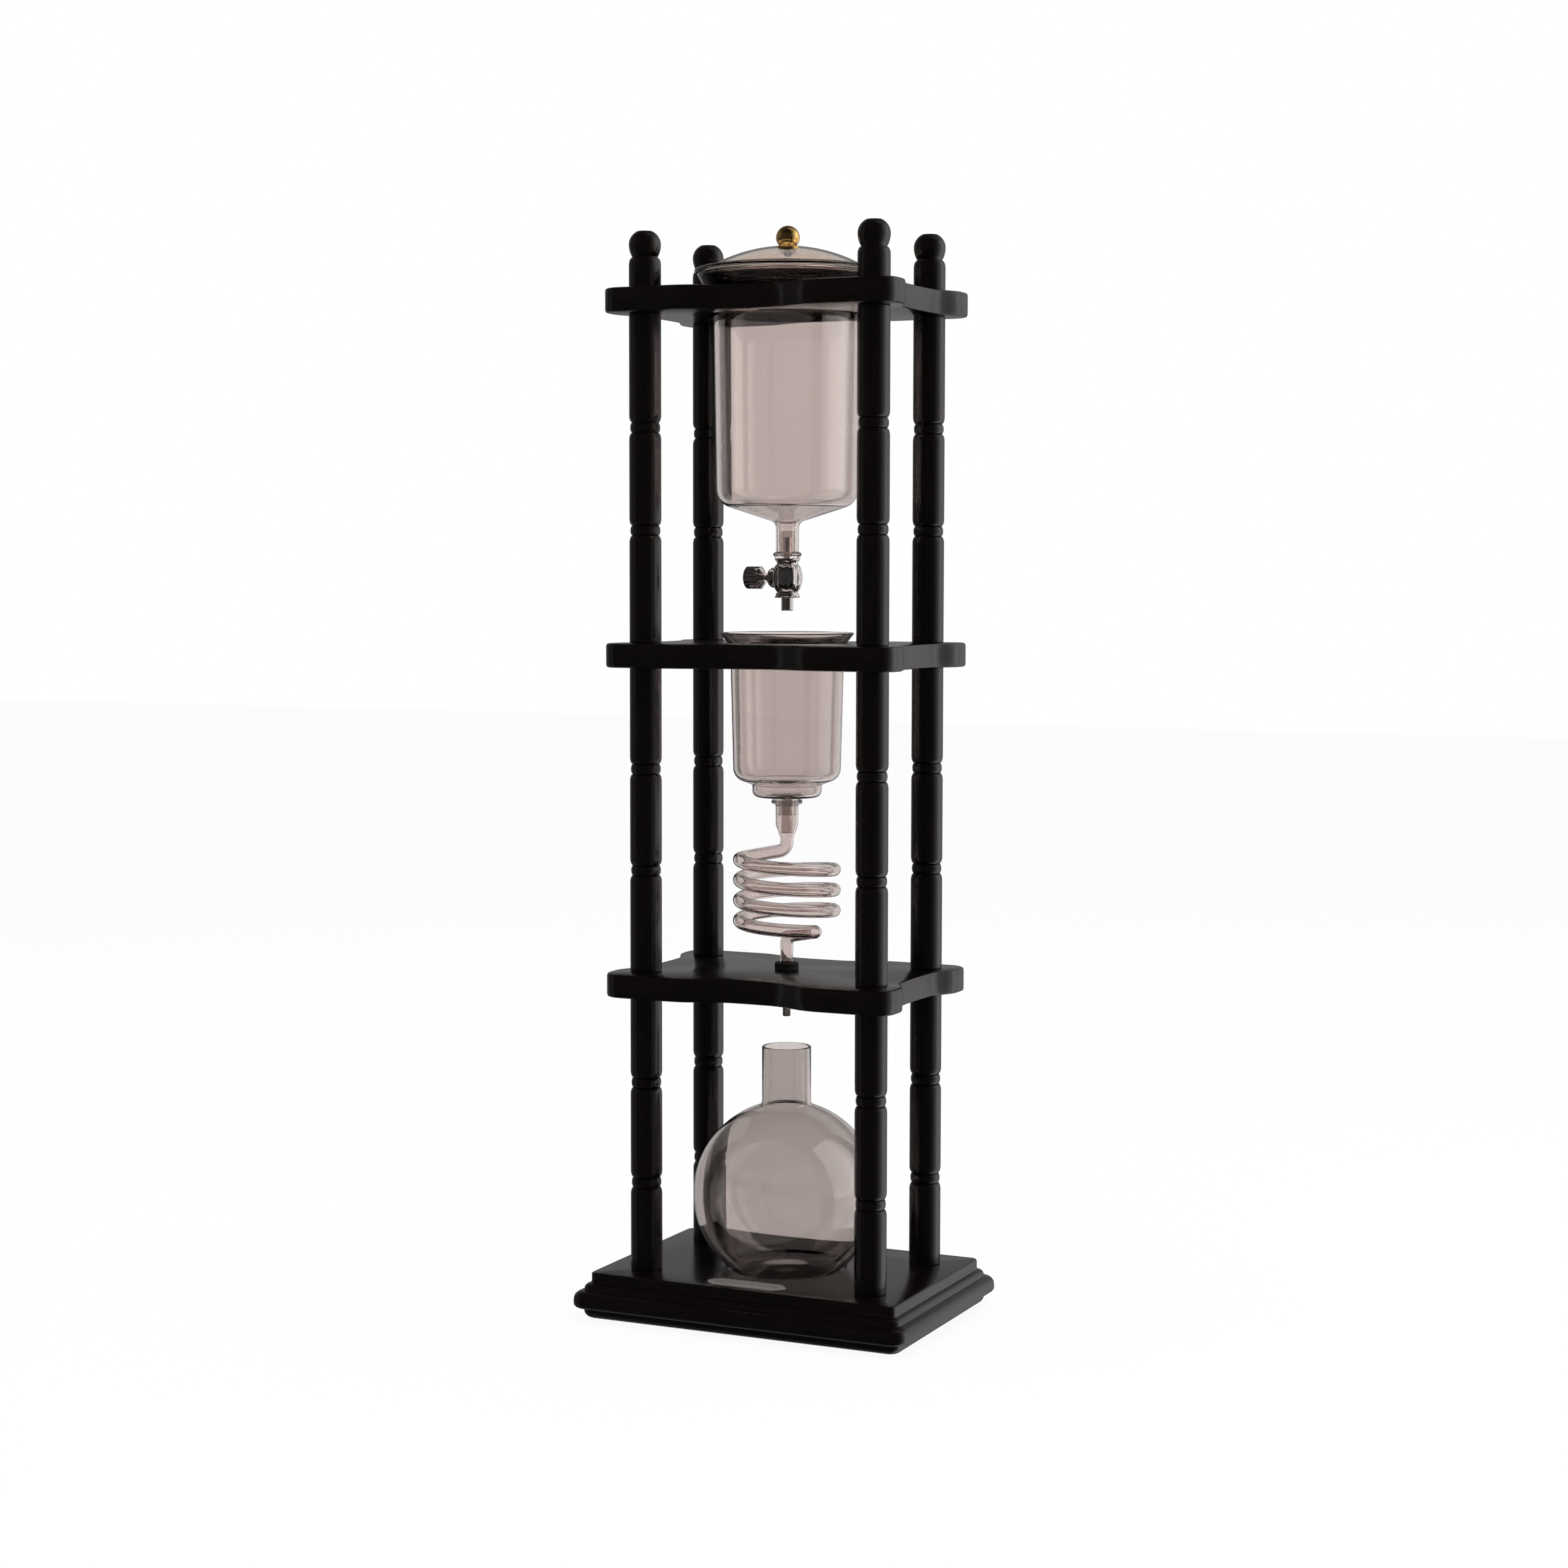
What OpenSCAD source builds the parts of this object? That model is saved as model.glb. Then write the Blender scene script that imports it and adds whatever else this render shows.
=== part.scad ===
// Cold drip coffee tower: a turned and moulded wooden stand that carries a water vessel
// with a needle tap, a coffee vessel, a glass spiral and a round flask, one above the other.
// Millimetres. The origin is on the floor under the middle of the base, +Z is up and the
// front of the tower faces -Y.

/* [Stand] */
// Distance between the post axes, side to side
post_span_x = 182; // [170:1:220]
// Diameter of the turned posts
post_d = 23.6; // [18:0.2:27]
// Distance between the two bead pairs of a spindle
bead_pair_span = 75.2; // [50:0.2:100]
// Depth of the V grooves beside each bead
groove_depth = 2.2; // [1:0.1:3]
// Height of the finials
finial_h = 42; // [36:0.5:55]

/* [Shelves] */
// How far the shelves reach past the post axes at the sides
shelf_overhang_x = 24.5; // [19:0.5:44]
// How far the shelves reach past the post axes at the front and the back
shelf_overhang_y = 26.5; // [22:0.5:43]
// How far the shelves reach past the water vessel's lip at the front and the back
shelf_rim = 12.1; // [8:0.1:24]
// Thickness of the shelves
shelf_t = 18; // [14:0.5:24]
// Radius of the shelf corners
shelf_corner_r = 14; // [10:0.5:20]
// How far the short sides bow inwards
short_bow = 12; // [0:0.5:16]
// How far the long sides bow inwards
long_bow = 13; // [0:0.5:14]
// Radius of the rounded edges of the shelves
shelf_edge_r = 2; // [0.5:0.1:4]

/* [Base] */
// How far the base reaches past the post axes at the sides
base_overhang_x = 43.2; // [40:0.2:64]
// How far the base reaches past the post axes at the front and the back
base_overhang_y = 43; // [40:0.2:63]
// Height of the wooden base
base_h = 34; // [30:0.5:45]
// Corner radius of the bullnose
base_corner_r = 10.5; // [8:0.5:20]
// Set-back of the upper board from the bullnose
upper_setback = 11.4; // [8:0.2:14]
// Set-back of the foot moulding from the bullnose
foot_setback = 6.5; // [5:0.5:9]
// Space between the flask and the rim of the round recess that it stands in
recess_gap = 3.8; // [3.6:0.1:8]
// Depth of the recess
recess_depth = 3; // [2:0.5:6]
// How far the rubber pads stand out below the base
pad_out = 1.5; // [1:0.1:4]
// Diameter of the rubber pads
pad_d = 16; // [10:0.5:20]
// Length of the bare name plate
plate_l = 62; // [44:1:80]
// Width of the bare name plate
plate_w = 17.5; // [15:0.5:21]
// Thickness of the name plate
plate_t = 0.9; // [0.5:0.1:2]

/* [Flask] */
// Largest outside diameter of the flask
flask_d = 139.2; // [124:0.2:150]
// Height of the flask from its flat bottom to its mouth
flask_h = 169.5; // [150:0.5:200]
// Outside diameter of the flask's neck
flask_neck_d = 36.8; // [30:0.2:50]
// Wall of the flask
flask_wall = 2; // [1.4:0.1:3]
// Gap between the mouth of the flask and the tip of the spiral
mouth_gap = 22.5; // [15:0.5:50]

/* [Spiral] */
// Outside diameter of the glass spiral
coil_d = 80.4; // [68:0.2:100]
// Outside diameter of the glass tube
coil_tube_d = 10; // [8:0.2:12]
// Bore of the glass tube
coil_bore_d = 7; // [4:0.2:7.4]
// Number of turns from the upper bend to the lower bend
coil_turns = 3.33; // [2.33:1:4.33]
// Pitch of the turns
coil_pitch = 15.2; // [13:0.2:20]
// Height of the lower end of the turns above the lower shelf
coil_riser_h = 32; // [28:0.1:50]
// How far the tip reaches below the lower shelf
tip_drop = 17; // [8:0.5:30]
// Outside diameter of the socket at the top of the spiral
socket_d = 17; // [16:0.2:20]
// Length of the straight socket
socket_l = 18.6; // [14:0.2:28]
// Diameter of the rubber grommet above the shelf
grommet_d = 18; // [16:0.5:26]
// Height of the grommet above the shelf
grommet_h = 5.5; // [3:0.5:10]

/* [Coffee vessel] */
// Height of the coffee vessel without its outlet stub
coffee_h = 122.2; // [100:0.2:150]
// Outside diameter of the body under its flared lip
coffee_d = 84.6; // [80:0.2:88]
// How far the body draws in on each side down to its shoulder
coffee_taper = 2.3; // [0:0.1:4]
// How far the flared lip reaches out past the body
coffee_lip_reach = 7.2; // [7:0.1:12]
// Height of the lip above the middle shelf
coffee_lip_rise = 7.6; // [4:0.2:12]
// Outside diameter of the small cup under the shoulder
coffee_cup_d = 51.6; // [44:0.2:60]
// Wall of the coffee vessel
coffee_wall = 2.4; // [1.6:0.1:3]
// Outside diameter of the outlet stub
stub_d = 8.6; // [7:0.2:9]

/* [Water vessel] */
// Height of the water vessel from its lip to the end of its neck
water_h = 207; // [180:1:240]
// Outside diameter of the body under its flared lip
water_d = 109; // [98:0.5:113]
// How far the body draws in on each side down to its shoulder
water_taper = 2.1; // [0:0.1:6]
// How far the flared lip reaches out past the body
water_lip_reach = 11.9; // [10:0.1:16]
// Height of the lip above the top shelf
water_lip_rise = 12.7; // [8:0.1:18]
// Outside diameter of the neck
water_neck_d = 17.2; // [15:0.2:20]
// Wall of the water vessel
water_wall = 2.5; // [1.8:0.1:3]
// Gap between the spout of the tap and the lip of the coffee vessel
drip_gap = 16; // [13.5:0.5:40]

/* [Lid] */
// How far the glass lid reaches out past the lip that it lies on
lid_overhang = 2.3; // [0.5:0.1:6]
// Width of the brim round the lid's dome
brim_w = 11.7; // [10:0.1:24]
// Rise of the dome above the brim
dome_rise = 15; // [8:0.5:20]
// Thickness of the lid's glass
lid_t = 2.5; // [1.8:0.1:3]
// Diameter of the ball knob
ball_d = 17.5; // [14:0.5:24]

/* [Tap] */
// Diameter of the lobed tap body
tap_d = 23.4; // [20:0.2:26]
// Number of lobes round the tap body
tap_lobes = 8; // [6:1:10]
// Height of the tap body over its two flanges
tap_h = 29.1; // [26:0.1:36]
// Diameter of the spout
spout_d = 8.9; // [7:0.1:12]
// Length of the spout below the tap body
spout_l = 9.6; // [6:0.1:20]
// Diameter of the fluted knob
knob_d = 17; // [14:0.2:22]
// Length of the fluted knob
knob_l = 15; // [9:0.2:18]
// Number of flutes round the knob
knob_flutes = 12; // [8:1:16]
// Distance from the tap's middle to the inner face of the knob
knob_reach = 17.9; // [17:0.1:26]
// Diameter of the tap's stem
stem_d = 4.4; // [3.6:0.1:5]

/* [Hidden] */
$fn = 96;

// Gap left between glass, rubber and wood that are fitted by hand
fit_gap = 0.3;
// Gap left between pieces that are screwed or pushed together
close_gap = 0.1;
// Gap left round the turning stem of the tap
stem_gap = 0.06;
// Overrun of a cut past the face that it opens
cut = 1;

// Fasteners
stud_d = 6;
stud_grip = 15;
screw_d = 5;
screw_head_d = 10;
screw_head_h = 4;
screw_sink = 6;
screw_grip = 20;
pin_d = 1.6;
pin_head_d = 3.4;
pin_head_h = 0.6;
pin_l = 7;
pin_share = 0.385;

// Turned beads: half width of a bead, length of the shoulder beside it, drop of its crown
bead_half = 3.7;
shoulder_l = 5;
bead_drop = 0.7;
end_chamfer = 0.6;

// Finial
collar_h = 17.5;
neck_h = 23.4;
belly_h = 32.4;
finial_neck_share = 0.8;
finial_belly_share = 1;
belly_foot_share = 0.8;
belly_top_share = 0.48;

// Shelf sides: where the inward bow starts and ends, as shares of the half side
short_bow_shares = [0.36, 0.72];
long_bow_shares = [0.14, 0.5];
bow_flat_share = 0.3;

// Base moulding
foot_h = 6;
foot_round = 5.5;
fillet_h = 1;
nose_bottom_h = 11.5;
nose_under = 3.5;
nose_top_h = 14.6;
ovolo_top_h = 20.8;
ovolo_reach = 6.2;
step_h = 0.7;
step_reach = 0.5;
bead_top_h = 25.8;
ovolo_ledge = 1.4;
cove_h = 2.4;
upper_edge_r = 1.5;
base_corner_share = 0.45;
pad_setback = 13.5;
pad_pocket = 1.5;
plate_setback = 14.6;
plate_corner = 7;

// Flask
flask_belly_share = 0.8326;
flask_foot_r = 8;
flask_fillet_r = 4;

// Spiral: bend radius, slope and start direction of the tube that leads in and out
bend_r = 7.5;
lead_slope = 11;
coil_start = 205;
coil_ring_step = 15;
tube_sides = 12;
rim_d = 23.4;
rim_h = 2.8;
rim_round = 1.4;
socket_bore_d = 14.1;
cone_l = 7.7;
throat_l = 4.8;
throat_wall = 1.15;
riser_d = 9.2;
tip_d = 5.9;
tip_bore_d = 3.4;
tip_taper_l = 6;
grommet_plug_d = 13.8;
grommet_plug_l = 12;
seal_flange_d = 22.4;
seal_flange_h = 1.8;
seal_plug_l = 11;

// Coffee vessel
coffee_flare_share = 0.776;
coffee_shoulder_r = 10;
coffee_turn = 70;
coffee_fillet_r = 2.5;
coffee_cup_h = 7.7;
coffee_cup_r = 5;
coffee_lip_round = 0.9;
coffee_hole_gap = 0.8285;
stub_l = 26.5;
stub_bore_d = 5.2;

// Water vessel
water_flare_share = 0.571;
water_shoulder_r = 14;
water_turn = 72;
water_fillet_r = 5;
water_lip_round = 1.3;
water_hole_gap = 4.0231;
neck_bead_d = 21.2;
neck_bead_h = 2.8;
water_neck_l = 21.2236;

// Lid
brim_edge_r = 1.25;
brim_t = 3;
locator_clear = 0.887;
locator_w = 2.5;
locator_h = 3;
bead_ring_r = 0.9;
ball_seat_share = 0.72;
knob_screw_d = 4;
knob_screw_head_d = 7;
knob_screw_head_h = 2.4;
knob_screw_l = 11;
knob_washer_d = 12;
knob_washer_t = 1.5;

// Tap
bush_flange_d = 19.4;
bush_flange_h = 1.5;
bush_plug_l = 18.7;
inlet_d = 6.6;
inlet_l = 15.3;
inlet_barbs = 4;
barb_depth = 0.5;
tap_bore_d = 3;
tap_flange_d = 18.5;
tap_flange_t = 1.5;
tap_waist_d = 15.6;
tap_waist_l = 3.7;
tap_foot_d = 19;
tap_foot_waist_d = 16.8;
tap_foot_l = 3.6;
tap_foot_t = 0.6;
tap_axis_share = 0.51;
lobe_depth_share = 0.1;
belly_stretch_share = 1.21;
boss_d = 14.6;
boss_reach = 9.5;
bonnet_d = 15;
bonnet_l = 2.8;
bonnet_cone_l = 2.5;
bonnet_neck_d = 7.2;
bonnet_neck_l = 1;
gland_d = 7;
gland_depth = 4;
spigot_l = 2;
needle_l = 3;
needle_tip_d = 1.6;
needle_reach = 1.9;
stem_socket_l = 8;
flute_d = 3;
flute_share = 1.06;
knob_face_r = 1.2;
knob_back_l = 3.7;
knob_hub_d = 6.8;
spout_tail_d = 6;
spout_tail_l = 4;
spout_round = 0.8;

// Widths of the two vessels and the lid, from the bodies and how far each piece reaches
coffee_foot_d = coffee_d - 2 * coffee_taper;
coffee_lip_d = coffee_d + 2 * coffee_lip_reach;
water_foot_d = water_d - 2 * water_taper;
water_lip_d = water_d + 2 * water_lip_reach;
lid_d = water_lip_d + 2 * lid_overhang;
dome_d = lid_d - 2 * brim_w;
locator_d = water_lip_d - 2 * (water_wall + water_flare_share * locator_h + locator_clear);

// Outlines of the boards: the shelves reach round the water vessel, the posts stand in from
// their edges, and the base reaches past the posts
shelf_w = post_span_x + 2 * shelf_overhang_x;
shelf_d = water_lip_d + 2 * shelf_rim;
post_span_y = shelf_d - 2 * shelf_overhang_y;
base_w = post_span_x + 2 * base_overhang_x;
base_d = post_span_y + 2 * base_overhang_y;

// The flask's widest point, its round foot, and the recess that the foot stands in
flask_belly_h = flask_belly_share * flask_d / 2;
flask_foot_x = sqrt(pow(flask_d / 2 - flask_foot_r, 2) - pow(flask_belly_h - flask_foot_r, 2));
recess_d = 2 * (flask_foot_x + recess_gap
    + sqrt(pow(flask_foot_r, 2) - pow(max(flask_foot_r - recess_depth, 0), 2)));

// Heights, worked out from the glass that each bay has to hold
base_top = pad_out + base_h;
recess_z = base_top - recess_depth;
lower_spindle_l = flask_h - recess_depth + mouth_gap + tip_drop;
lower_under = base_top + lower_spindle_l;
lower_top = lower_under + shelf_t;
coil_r = (coil_d - coil_tube_d) / 2;
bend_turn = asin(bend_r / (coil_r - bend_r));
run_end = (coil_r - bend_r) * cos(bend_turn);
run_start = bend_r * (1 - sin(lead_slope));
run_l = run_end - run_start;
pitch_slope = coil_pitch / (2 * PI * coil_r);
fillet_l = bend_r * (90 + bend_turn) * PI / 180;
lead_h = bend_r * cos(lead_slope) + run_l * tan(lead_slope)
    + fillet_l * (tan(lead_slope) + pitch_slope) / 2;
coil_end_z = lower_top + coil_riser_h;
coil_start_z = coil_end_z + coil_turns * coil_pitch;
throat_z = coil_start_z + lead_h + throat_l;
rim_top_z = throat_z + cone_l + socket_l;
seal_top_z = rim_top_z + seal_flange_h;
coffee_bottom_z = seal_top_z + fit_gap;
middle_top = coffee_bottom_z + coffee_h - coffee_lip_rise;
middle_under = middle_top - shelf_t;
middle_spindle_l = middle_under - lower_top;
spout_z = middle_top + coffee_lip_rise + drip_gap;
tap_foot_z = spout_z + spout_l;
tap_top_z = tap_foot_z + tap_h;
tap_axis_z = tap_foot_z + tap_axis_share * tap_h;
neck_end_z = tap_top_z + bush_flange_h;
top_top = neck_end_z + water_h - water_lip_rise;
top_under = top_top - shelf_t;
upper_spindle_l = top_under - middle_top;
lip_top_z = top_top + water_lip_rise;
brim_under_z = lip_top_z + fit_gap;
brim_top_z = brim_under_z + brim_t;
dome_apex_z = brim_top_z + dome_rise + brim_edge_r;

post_r = post_d / 2;
post_x = post_span_x / 2;
post_y = post_span_y / 2;
hole_d = stud_d + 2 * close_gap;

// A list of points along an elliptical arc in a plane
function arc(cx, cz, rx, rz, from, to, n) =
    [for (i = [0:n]) let (a = from + (to - from) * i / n) [cx + rx * cos(a), cz + rz * sin(a)]];

// The same list the other way round
function reversed(list) = [for (i = [len(list) - 1:-1:0]) list[i]];

// Side of a vessel from its straight body through a shoulder and a funnel into a narrower
// neck; off is the distance inwards from the outer face
function shoulder(body_r, z, round_r, turn, neck_r, fillet_r, off) =
    let (
        fall = (round_r + fillet_r - (neck_r + fillet_r - body_r + round_r) * cos(turn)) / sin(turn)
    )
    concat(
        arc(body_r - round_r, z, round_r - off, round_r - off, 0, -turn, 6),
        arc(neck_r + fillet_r, z - fall, fillet_r + off, fillet_r + off, 180 - turn, 180, 4)
    );

// Height that the shoulder takes from the body down to the neck
function shoulder_fall(body_r, round_r, turn, neck_r, fillet_r) =
    (round_r + fillet_r - (neck_r + fillet_r - body_r + round_r) * cos(turn)) / sin(turn);

// Turned pieces: a profile of [radius, height] points turned about the vertical axis
module turned(profile) {
    rotate_extrude() polygon(profile);
}

// A solid whose outline changes with height, given as rings of as many points each, with
// its two end faces fanned out from the axis
module lofted(rings) {
    count = len(rings[0]);
    last = len(rings) - 1;
    hub = (last + 1) * count;
    polyhedron(
        points = concat(
            [for (ring = rings) each ring],
            [[0, 0, rings[0][0][2]], [0, 0, rings[last][0][2]]]
        ),
        faces = concat(
            [for (k = [0:count - 1]) [hub, k, (k + 1) % count]],
            [for (i = [0:last - 1], k = [0:count - 1]) let (a = i * count, b = (k + 1) % count)
                each [[a + k, a + count + k, a + b], [a + b, a + count + k, a + count + b]]],
            [for (k = [0:count - 1]) let (a = last * count) [hub + 1, a + (k + 1) % count, a + k]]
        )
    );
}

// Each of the four post axes
module at_posts(z) {
    for (sx = [-1, 1], sy = [-1, 1])
        translate([sx * post_x, sy * post_y, z]) children();
}

module wood() {
    color([0.08, 0.07, 0.07]) children();
}

module glass() {
    color([0.8, 0.76, 0.74, 0.45]) children();
}

module chrome() {
    color([0.62, 0.61, 0.62]) children();
}

module steel() {
    color([0.7, 0.7, 0.7]) children();
}

module rubber() {
    color([0.05, 0.05, 0.05]) children();
}

module silicone() {
    color([0.78, 0.75, 0.72, 0.7]) children();
}

// Radius of a spindle at the distance u from the middle of its bead pair: the crowned bead
// in the middle, a V groove on each side, and the rounded shoulder of the plain post
function bead_radius(u) =
    let (d = abs(u), crown = groove_depth - bead_drop)
    d < bead_half
        ? post_r - bead_drop - crown * (1 - sqrt(1 - pow(d / bead_half, 2)))
        : post_r - groove_depth * (1 - sqrt(1 - pow((bead_half + shoulder_l - d) / shoulder_l, 2)));

// Heights at which the bead pair's profile is drawn, as shares of the bead and the shoulder
bead_shares = [1, 0.94, 0.75, 0.45, 0];
shoulder_shares = [1, 0.72, 0.42, 0.18, 0.04];
bead_steps = concat(
    [for (s = shoulder_shares) -bead_half - shoulder_l * s],
    [for (s = bead_shares) -bead_half * s],
    [for (i = [3:-1:0]) bead_half * bead_shares[i]],
    [for (i = [4:-1:0]) bead_half + shoulder_l * shoulder_shares[i]]
);

function bead_pair(z) = [for (u = bead_steps) [bead_radius(u), z + u]];

// A spindle stands at a corner, from its lower end at z, with a bead pair on each side of
// its middle and a hole for a stud or screw in each end
module spindle(sx, sy, z, length) {
    wood() translate([sx * post_x, sy * post_y, z]) difference() {
        turned(concat(
            [[0, 0], [post_r - end_chamfer, 0], [post_r, end_chamfer]],
            bead_pair((length - bead_pair_span) / 2),
            bead_pair((length + bead_pair_span) / 2),
            [[post_r, length - end_chamfer], [post_r - end_chamfer, length], [0, length]]
        ));
        translate([0, 0, -cut]) cylinder(d = hole_d, h = cut + screw_grip + close_gap);
        translate([0, 0, length - stud_grip - close_gap])
            cylinder(d = hole_d, h = stud_grip + close_gap + cut);
    }
}

module lower_spindle(sx, sy) {
    spindle(sx, sy, base_top, lower_spindle_l);
}

module middle_spindle(sx, sy) {
    spindle(sx, sy, lower_top, middle_spindle_l);
}

module upper_spindle(sx, sy) {
    spindle(sx, sy, middle_top, upper_spindle_l);
}

// A finial: a plain collar, a narrow neck and a ball with a flat top
module finial(sx, sy) {
    neck_r = post_r * finial_neck_share;
    ball_r = post_r * finial_belly_share;
    wood() translate([sx * post_x, sy * post_y, top_top]) difference() {
        turned(concat(
            [[0, 0], [post_r - end_chamfer, 0], [post_r, end_chamfer]],
            arc(neck_r, collar_h, post_r - neck_r, neck_h - collar_h - end_chamfer, 0, 90, 5),
            arc(0, belly_h, ball_r, (belly_h - neck_h) / sqrt(1 - pow(belly_foot_share, 2)),
                -acos(belly_foot_share), 0, 6),
            arc(0, belly_h, ball_r, (finial_h - belly_h) / sqrt(1 - pow(belly_top_share, 2)),
                8, acos(belly_top_share), 5),
            [[0, finial_h]]
        ));
        translate([0, 0, -cut]) cylinder(d = hole_d, h = cut + stud_grip + close_gap);
    }
}

// How far a shelf side is drawn in at the distance t from its middle
function side_inset(t, half, bow, shares) =
    let (u = abs(t) / half)
    u >= shares[1] ? 0 :
    bow * (1 - bow_flat_share * pow(u / shares[1], 2))
        * (u <= shares[0] ? 1 : (1 + cos(180 * (u - shares[0]) / (shares[1] - shares[0]))) / 2);

// Places along half a shelf side, from its middle out to its corner lobe
function side_places(half, shares) = concat(
    [for (i = [0:2]) half * shares[0] * i / 3],
    [for (i = [0:6]) half * (shares[0] + (shares[1] - shares[0]) * i / 6)]
);

// All places along a side, from one lobe to the other
function side_run(half, shares) =
    let (right = side_places(half, shares))
    concat([for (i = [len(right) - 1:-1:1]) -right[i]], right);

// The shelf outline, with round corner lobes and four ogee sides
function shelf_outline() =
    let (
        hx = shelf_w / 2,
        hy = shelf_d / 2,
        cx = hx - shelf_corner_r,
        cy = hy - shelf_corner_r,
        short = side_run(hy, short_bow_shares),
        long = side_run(hx, long_bow_shares),
        r = shelf_corner_r
    )
    concat(
        [for (t = short) [hx - side_inset(t, hy, short_bow, short_bow_shares), t]],
        arc(cx, cy, r, r, 0, 90, 6),
        [for (t = long) [-t, hy - side_inset(t, hx, long_bow, long_bow_shares)]],
        arc(-cx, cy, r, r, 90, 180, 6),
        [for (t = short) [side_inset(t, hy, short_bow, short_bow_shares) - hx, -t]],
        arc(-cx, -cy, r, r, 180, 270, 6),
        [for (t = long) [t, side_inset(t, hx, long_bow, long_bow_shares) - hy]],
        arc(cx, -cy, r, r, 270, 360, 6)
    );

// The outline drawn in by off along its own normals, at the height z
function drawn_in(outline, off, z) =
    let (n = len(outline))
    [for (i = [0:n - 1])
        let (
            d = outline[(i + 1) % n] - outline[(i + n - 1) % n],
            p = outline[i] + off * [-d[1], d[0]] / norm(d)
        )
        [p[0], p[1], z]];

// A shelf with rounded edges and stud holes; its middle is cut by the caller
module shelf_board(z) {
    outline = shelf_outline();
    r = shelf_edge_r;
    mid = r * (1 - cos(45));
    difference() {
        lofted([
            drawn_in(outline, r, z),
            drawn_in(outline, mid, z + mid),
            drawn_in(outline, 0, z + r),
            drawn_in(outline, 0, z + shelf_t - r),
            drawn_in(outline, mid, z + shelf_t - mid),
            drawn_in(outline, r, z + shelf_t)
        ]);
        at_posts(z - cut) cylinder(d = hole_d, h = shelf_t + 2 * cut);
    }
}

// The hole that a flared vessel hangs in: a straight bore with a coned seat at its top
module vessel_hole(z, top_r, flare_share, bore_r) {
    seat_depth = (top_r - bore_r) / flare_share;
    translate([0, 0, z - cut]) cylinder(r = bore_r, h = shelf_t + 2 * cut);
    translate([0, 0, z + shelf_t - seat_depth])
        cylinder(r1 = bore_r, r2 = top_r + flare_share * cut, h = seat_depth + cut);
}

// Radius of a vessel's flare where it passes the top face of its shelf
function flare_r(lip_d, lip_rise, lip_round, share) = lip_d / 2 - share * (lip_rise - lip_round);

water_flare_r = flare_r(water_lip_d, water_lip_rise, water_lip_round, water_flare_share);
coffee_flare_r = flare_r(coffee_lip_d, coffee_lip_rise, coffee_lip_round, coffee_flare_share);

module top_shelf() {
    wood() difference() {
        shelf_board(top_under);
        vessel_hole(top_under, water_flare_r + fit_gap / cos(atan(water_flare_share)),
            water_flare_share, water_d / 2 + water_hole_gap);
    }
}

module middle_shelf() {
    wood() difference() {
        shelf_board(middle_under);
        vessel_hole(middle_under, coffee_flare_r + fit_gap / cos(atan(coffee_flare_share)),
            coffee_flare_share, coffee_d / 2 + coffee_hole_gap);
    }
}

module lower_shelf() {
    wood() difference() {
        shelf_board(lower_under);
        translate([0, 0, lower_under - cut])
            cylinder(d = grommet_plug_d + 2 * close_gap, h = shelf_t + 2 * cut);
    }
}

// Double-ended studs that join the spindles through a shelf
module shelf_studs(z, below) {
    steel() at_posts(z - below) cylinder(d = stud_d, h = below + shelf_t + stud_grip);
}

module lower_shelf_studs() {
    shelf_studs(lower_under, stud_grip);
}

module middle_shelf_studs() {
    shelf_studs(middle_under, stud_grip);
}

module top_shelf_studs() {
    shelf_studs(top_under, stud_grip);
}

// Rounded rectangle at the inset off from the bullnose, at the height z over the pads
function base_ring(off, z) =
    let (
        r = base_corner_r - base_corner_share * off,
        cx = base_w / 2 - off - r,
        cy = base_d / 2 - off - r
    )
    [for (q = [0:3], i = [0:5])
        let (a = 90 * q + 18 * i, sx = (q == 0 || q == 3) ? 1 : -1, sy = q < 2 ? 1 : -1)
        [sx * cx + r * cos(a), sy * cy + r * sin(a), pad_out + z]];

// Section of the base moulding as [set-back, height]: a quarter-round foot, a bullnose with
// an ovolo top, a bead set back from it, a small cove, and the upper board with its eased edge
function base_section() = concat(
    [for (a = [0:18:90])
        [foot_setback + foot_round * (1 - sin(a)), foot_h * (1 - cos(a))]],
    [[foot_setback, foot_h + fillet_h]],
    [for (a = [0:22.5:90])
        [nose_under * (1 - sin(a)), nose_bottom_h - nose_under * cos(a)]],
    [for (a = [0:18:90])
        [ovolo_reach * (1 - cos(a)), nose_top_h + (ovolo_top_h - nose_top_h) * sin(a)]],
    [for (a = [0:22.5:90])
        [ovolo_reach + step_reach
            + (upper_setback - ovolo_ledge - ovolo_reach - step_reach) * (1 - cos(a)),
            ovolo_top_h + step_h + (bead_top_h - ovolo_top_h - step_h) * sin(a)]],
    [for (a = [30:30:90])
        [upper_setback - ovolo_ledge / 2 * (1 - sin(a)), bead_top_h + cove_h * (1 - cos(a))]],
    [for (a = [0:30:90])
        [upper_setback + upper_edge_r * (1 - cos(a)), base_h - upper_edge_r * (1 - sin(a))]]
);

pad_x = base_w / 2 - foot_setback - foot_round - pad_setback;
pad_y = base_d / 2 - foot_setback - foot_round - pad_setback;

module at_pads(z) {
    for (sx = [-1, 1], sy = [-1, 1])
        translate([sx * pad_x, sy * pad_y, z]) children();
}

plate_y = -(base_d / 2 - upper_setback - plate_setback);
pin_x = plate_l * pin_share;

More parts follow.
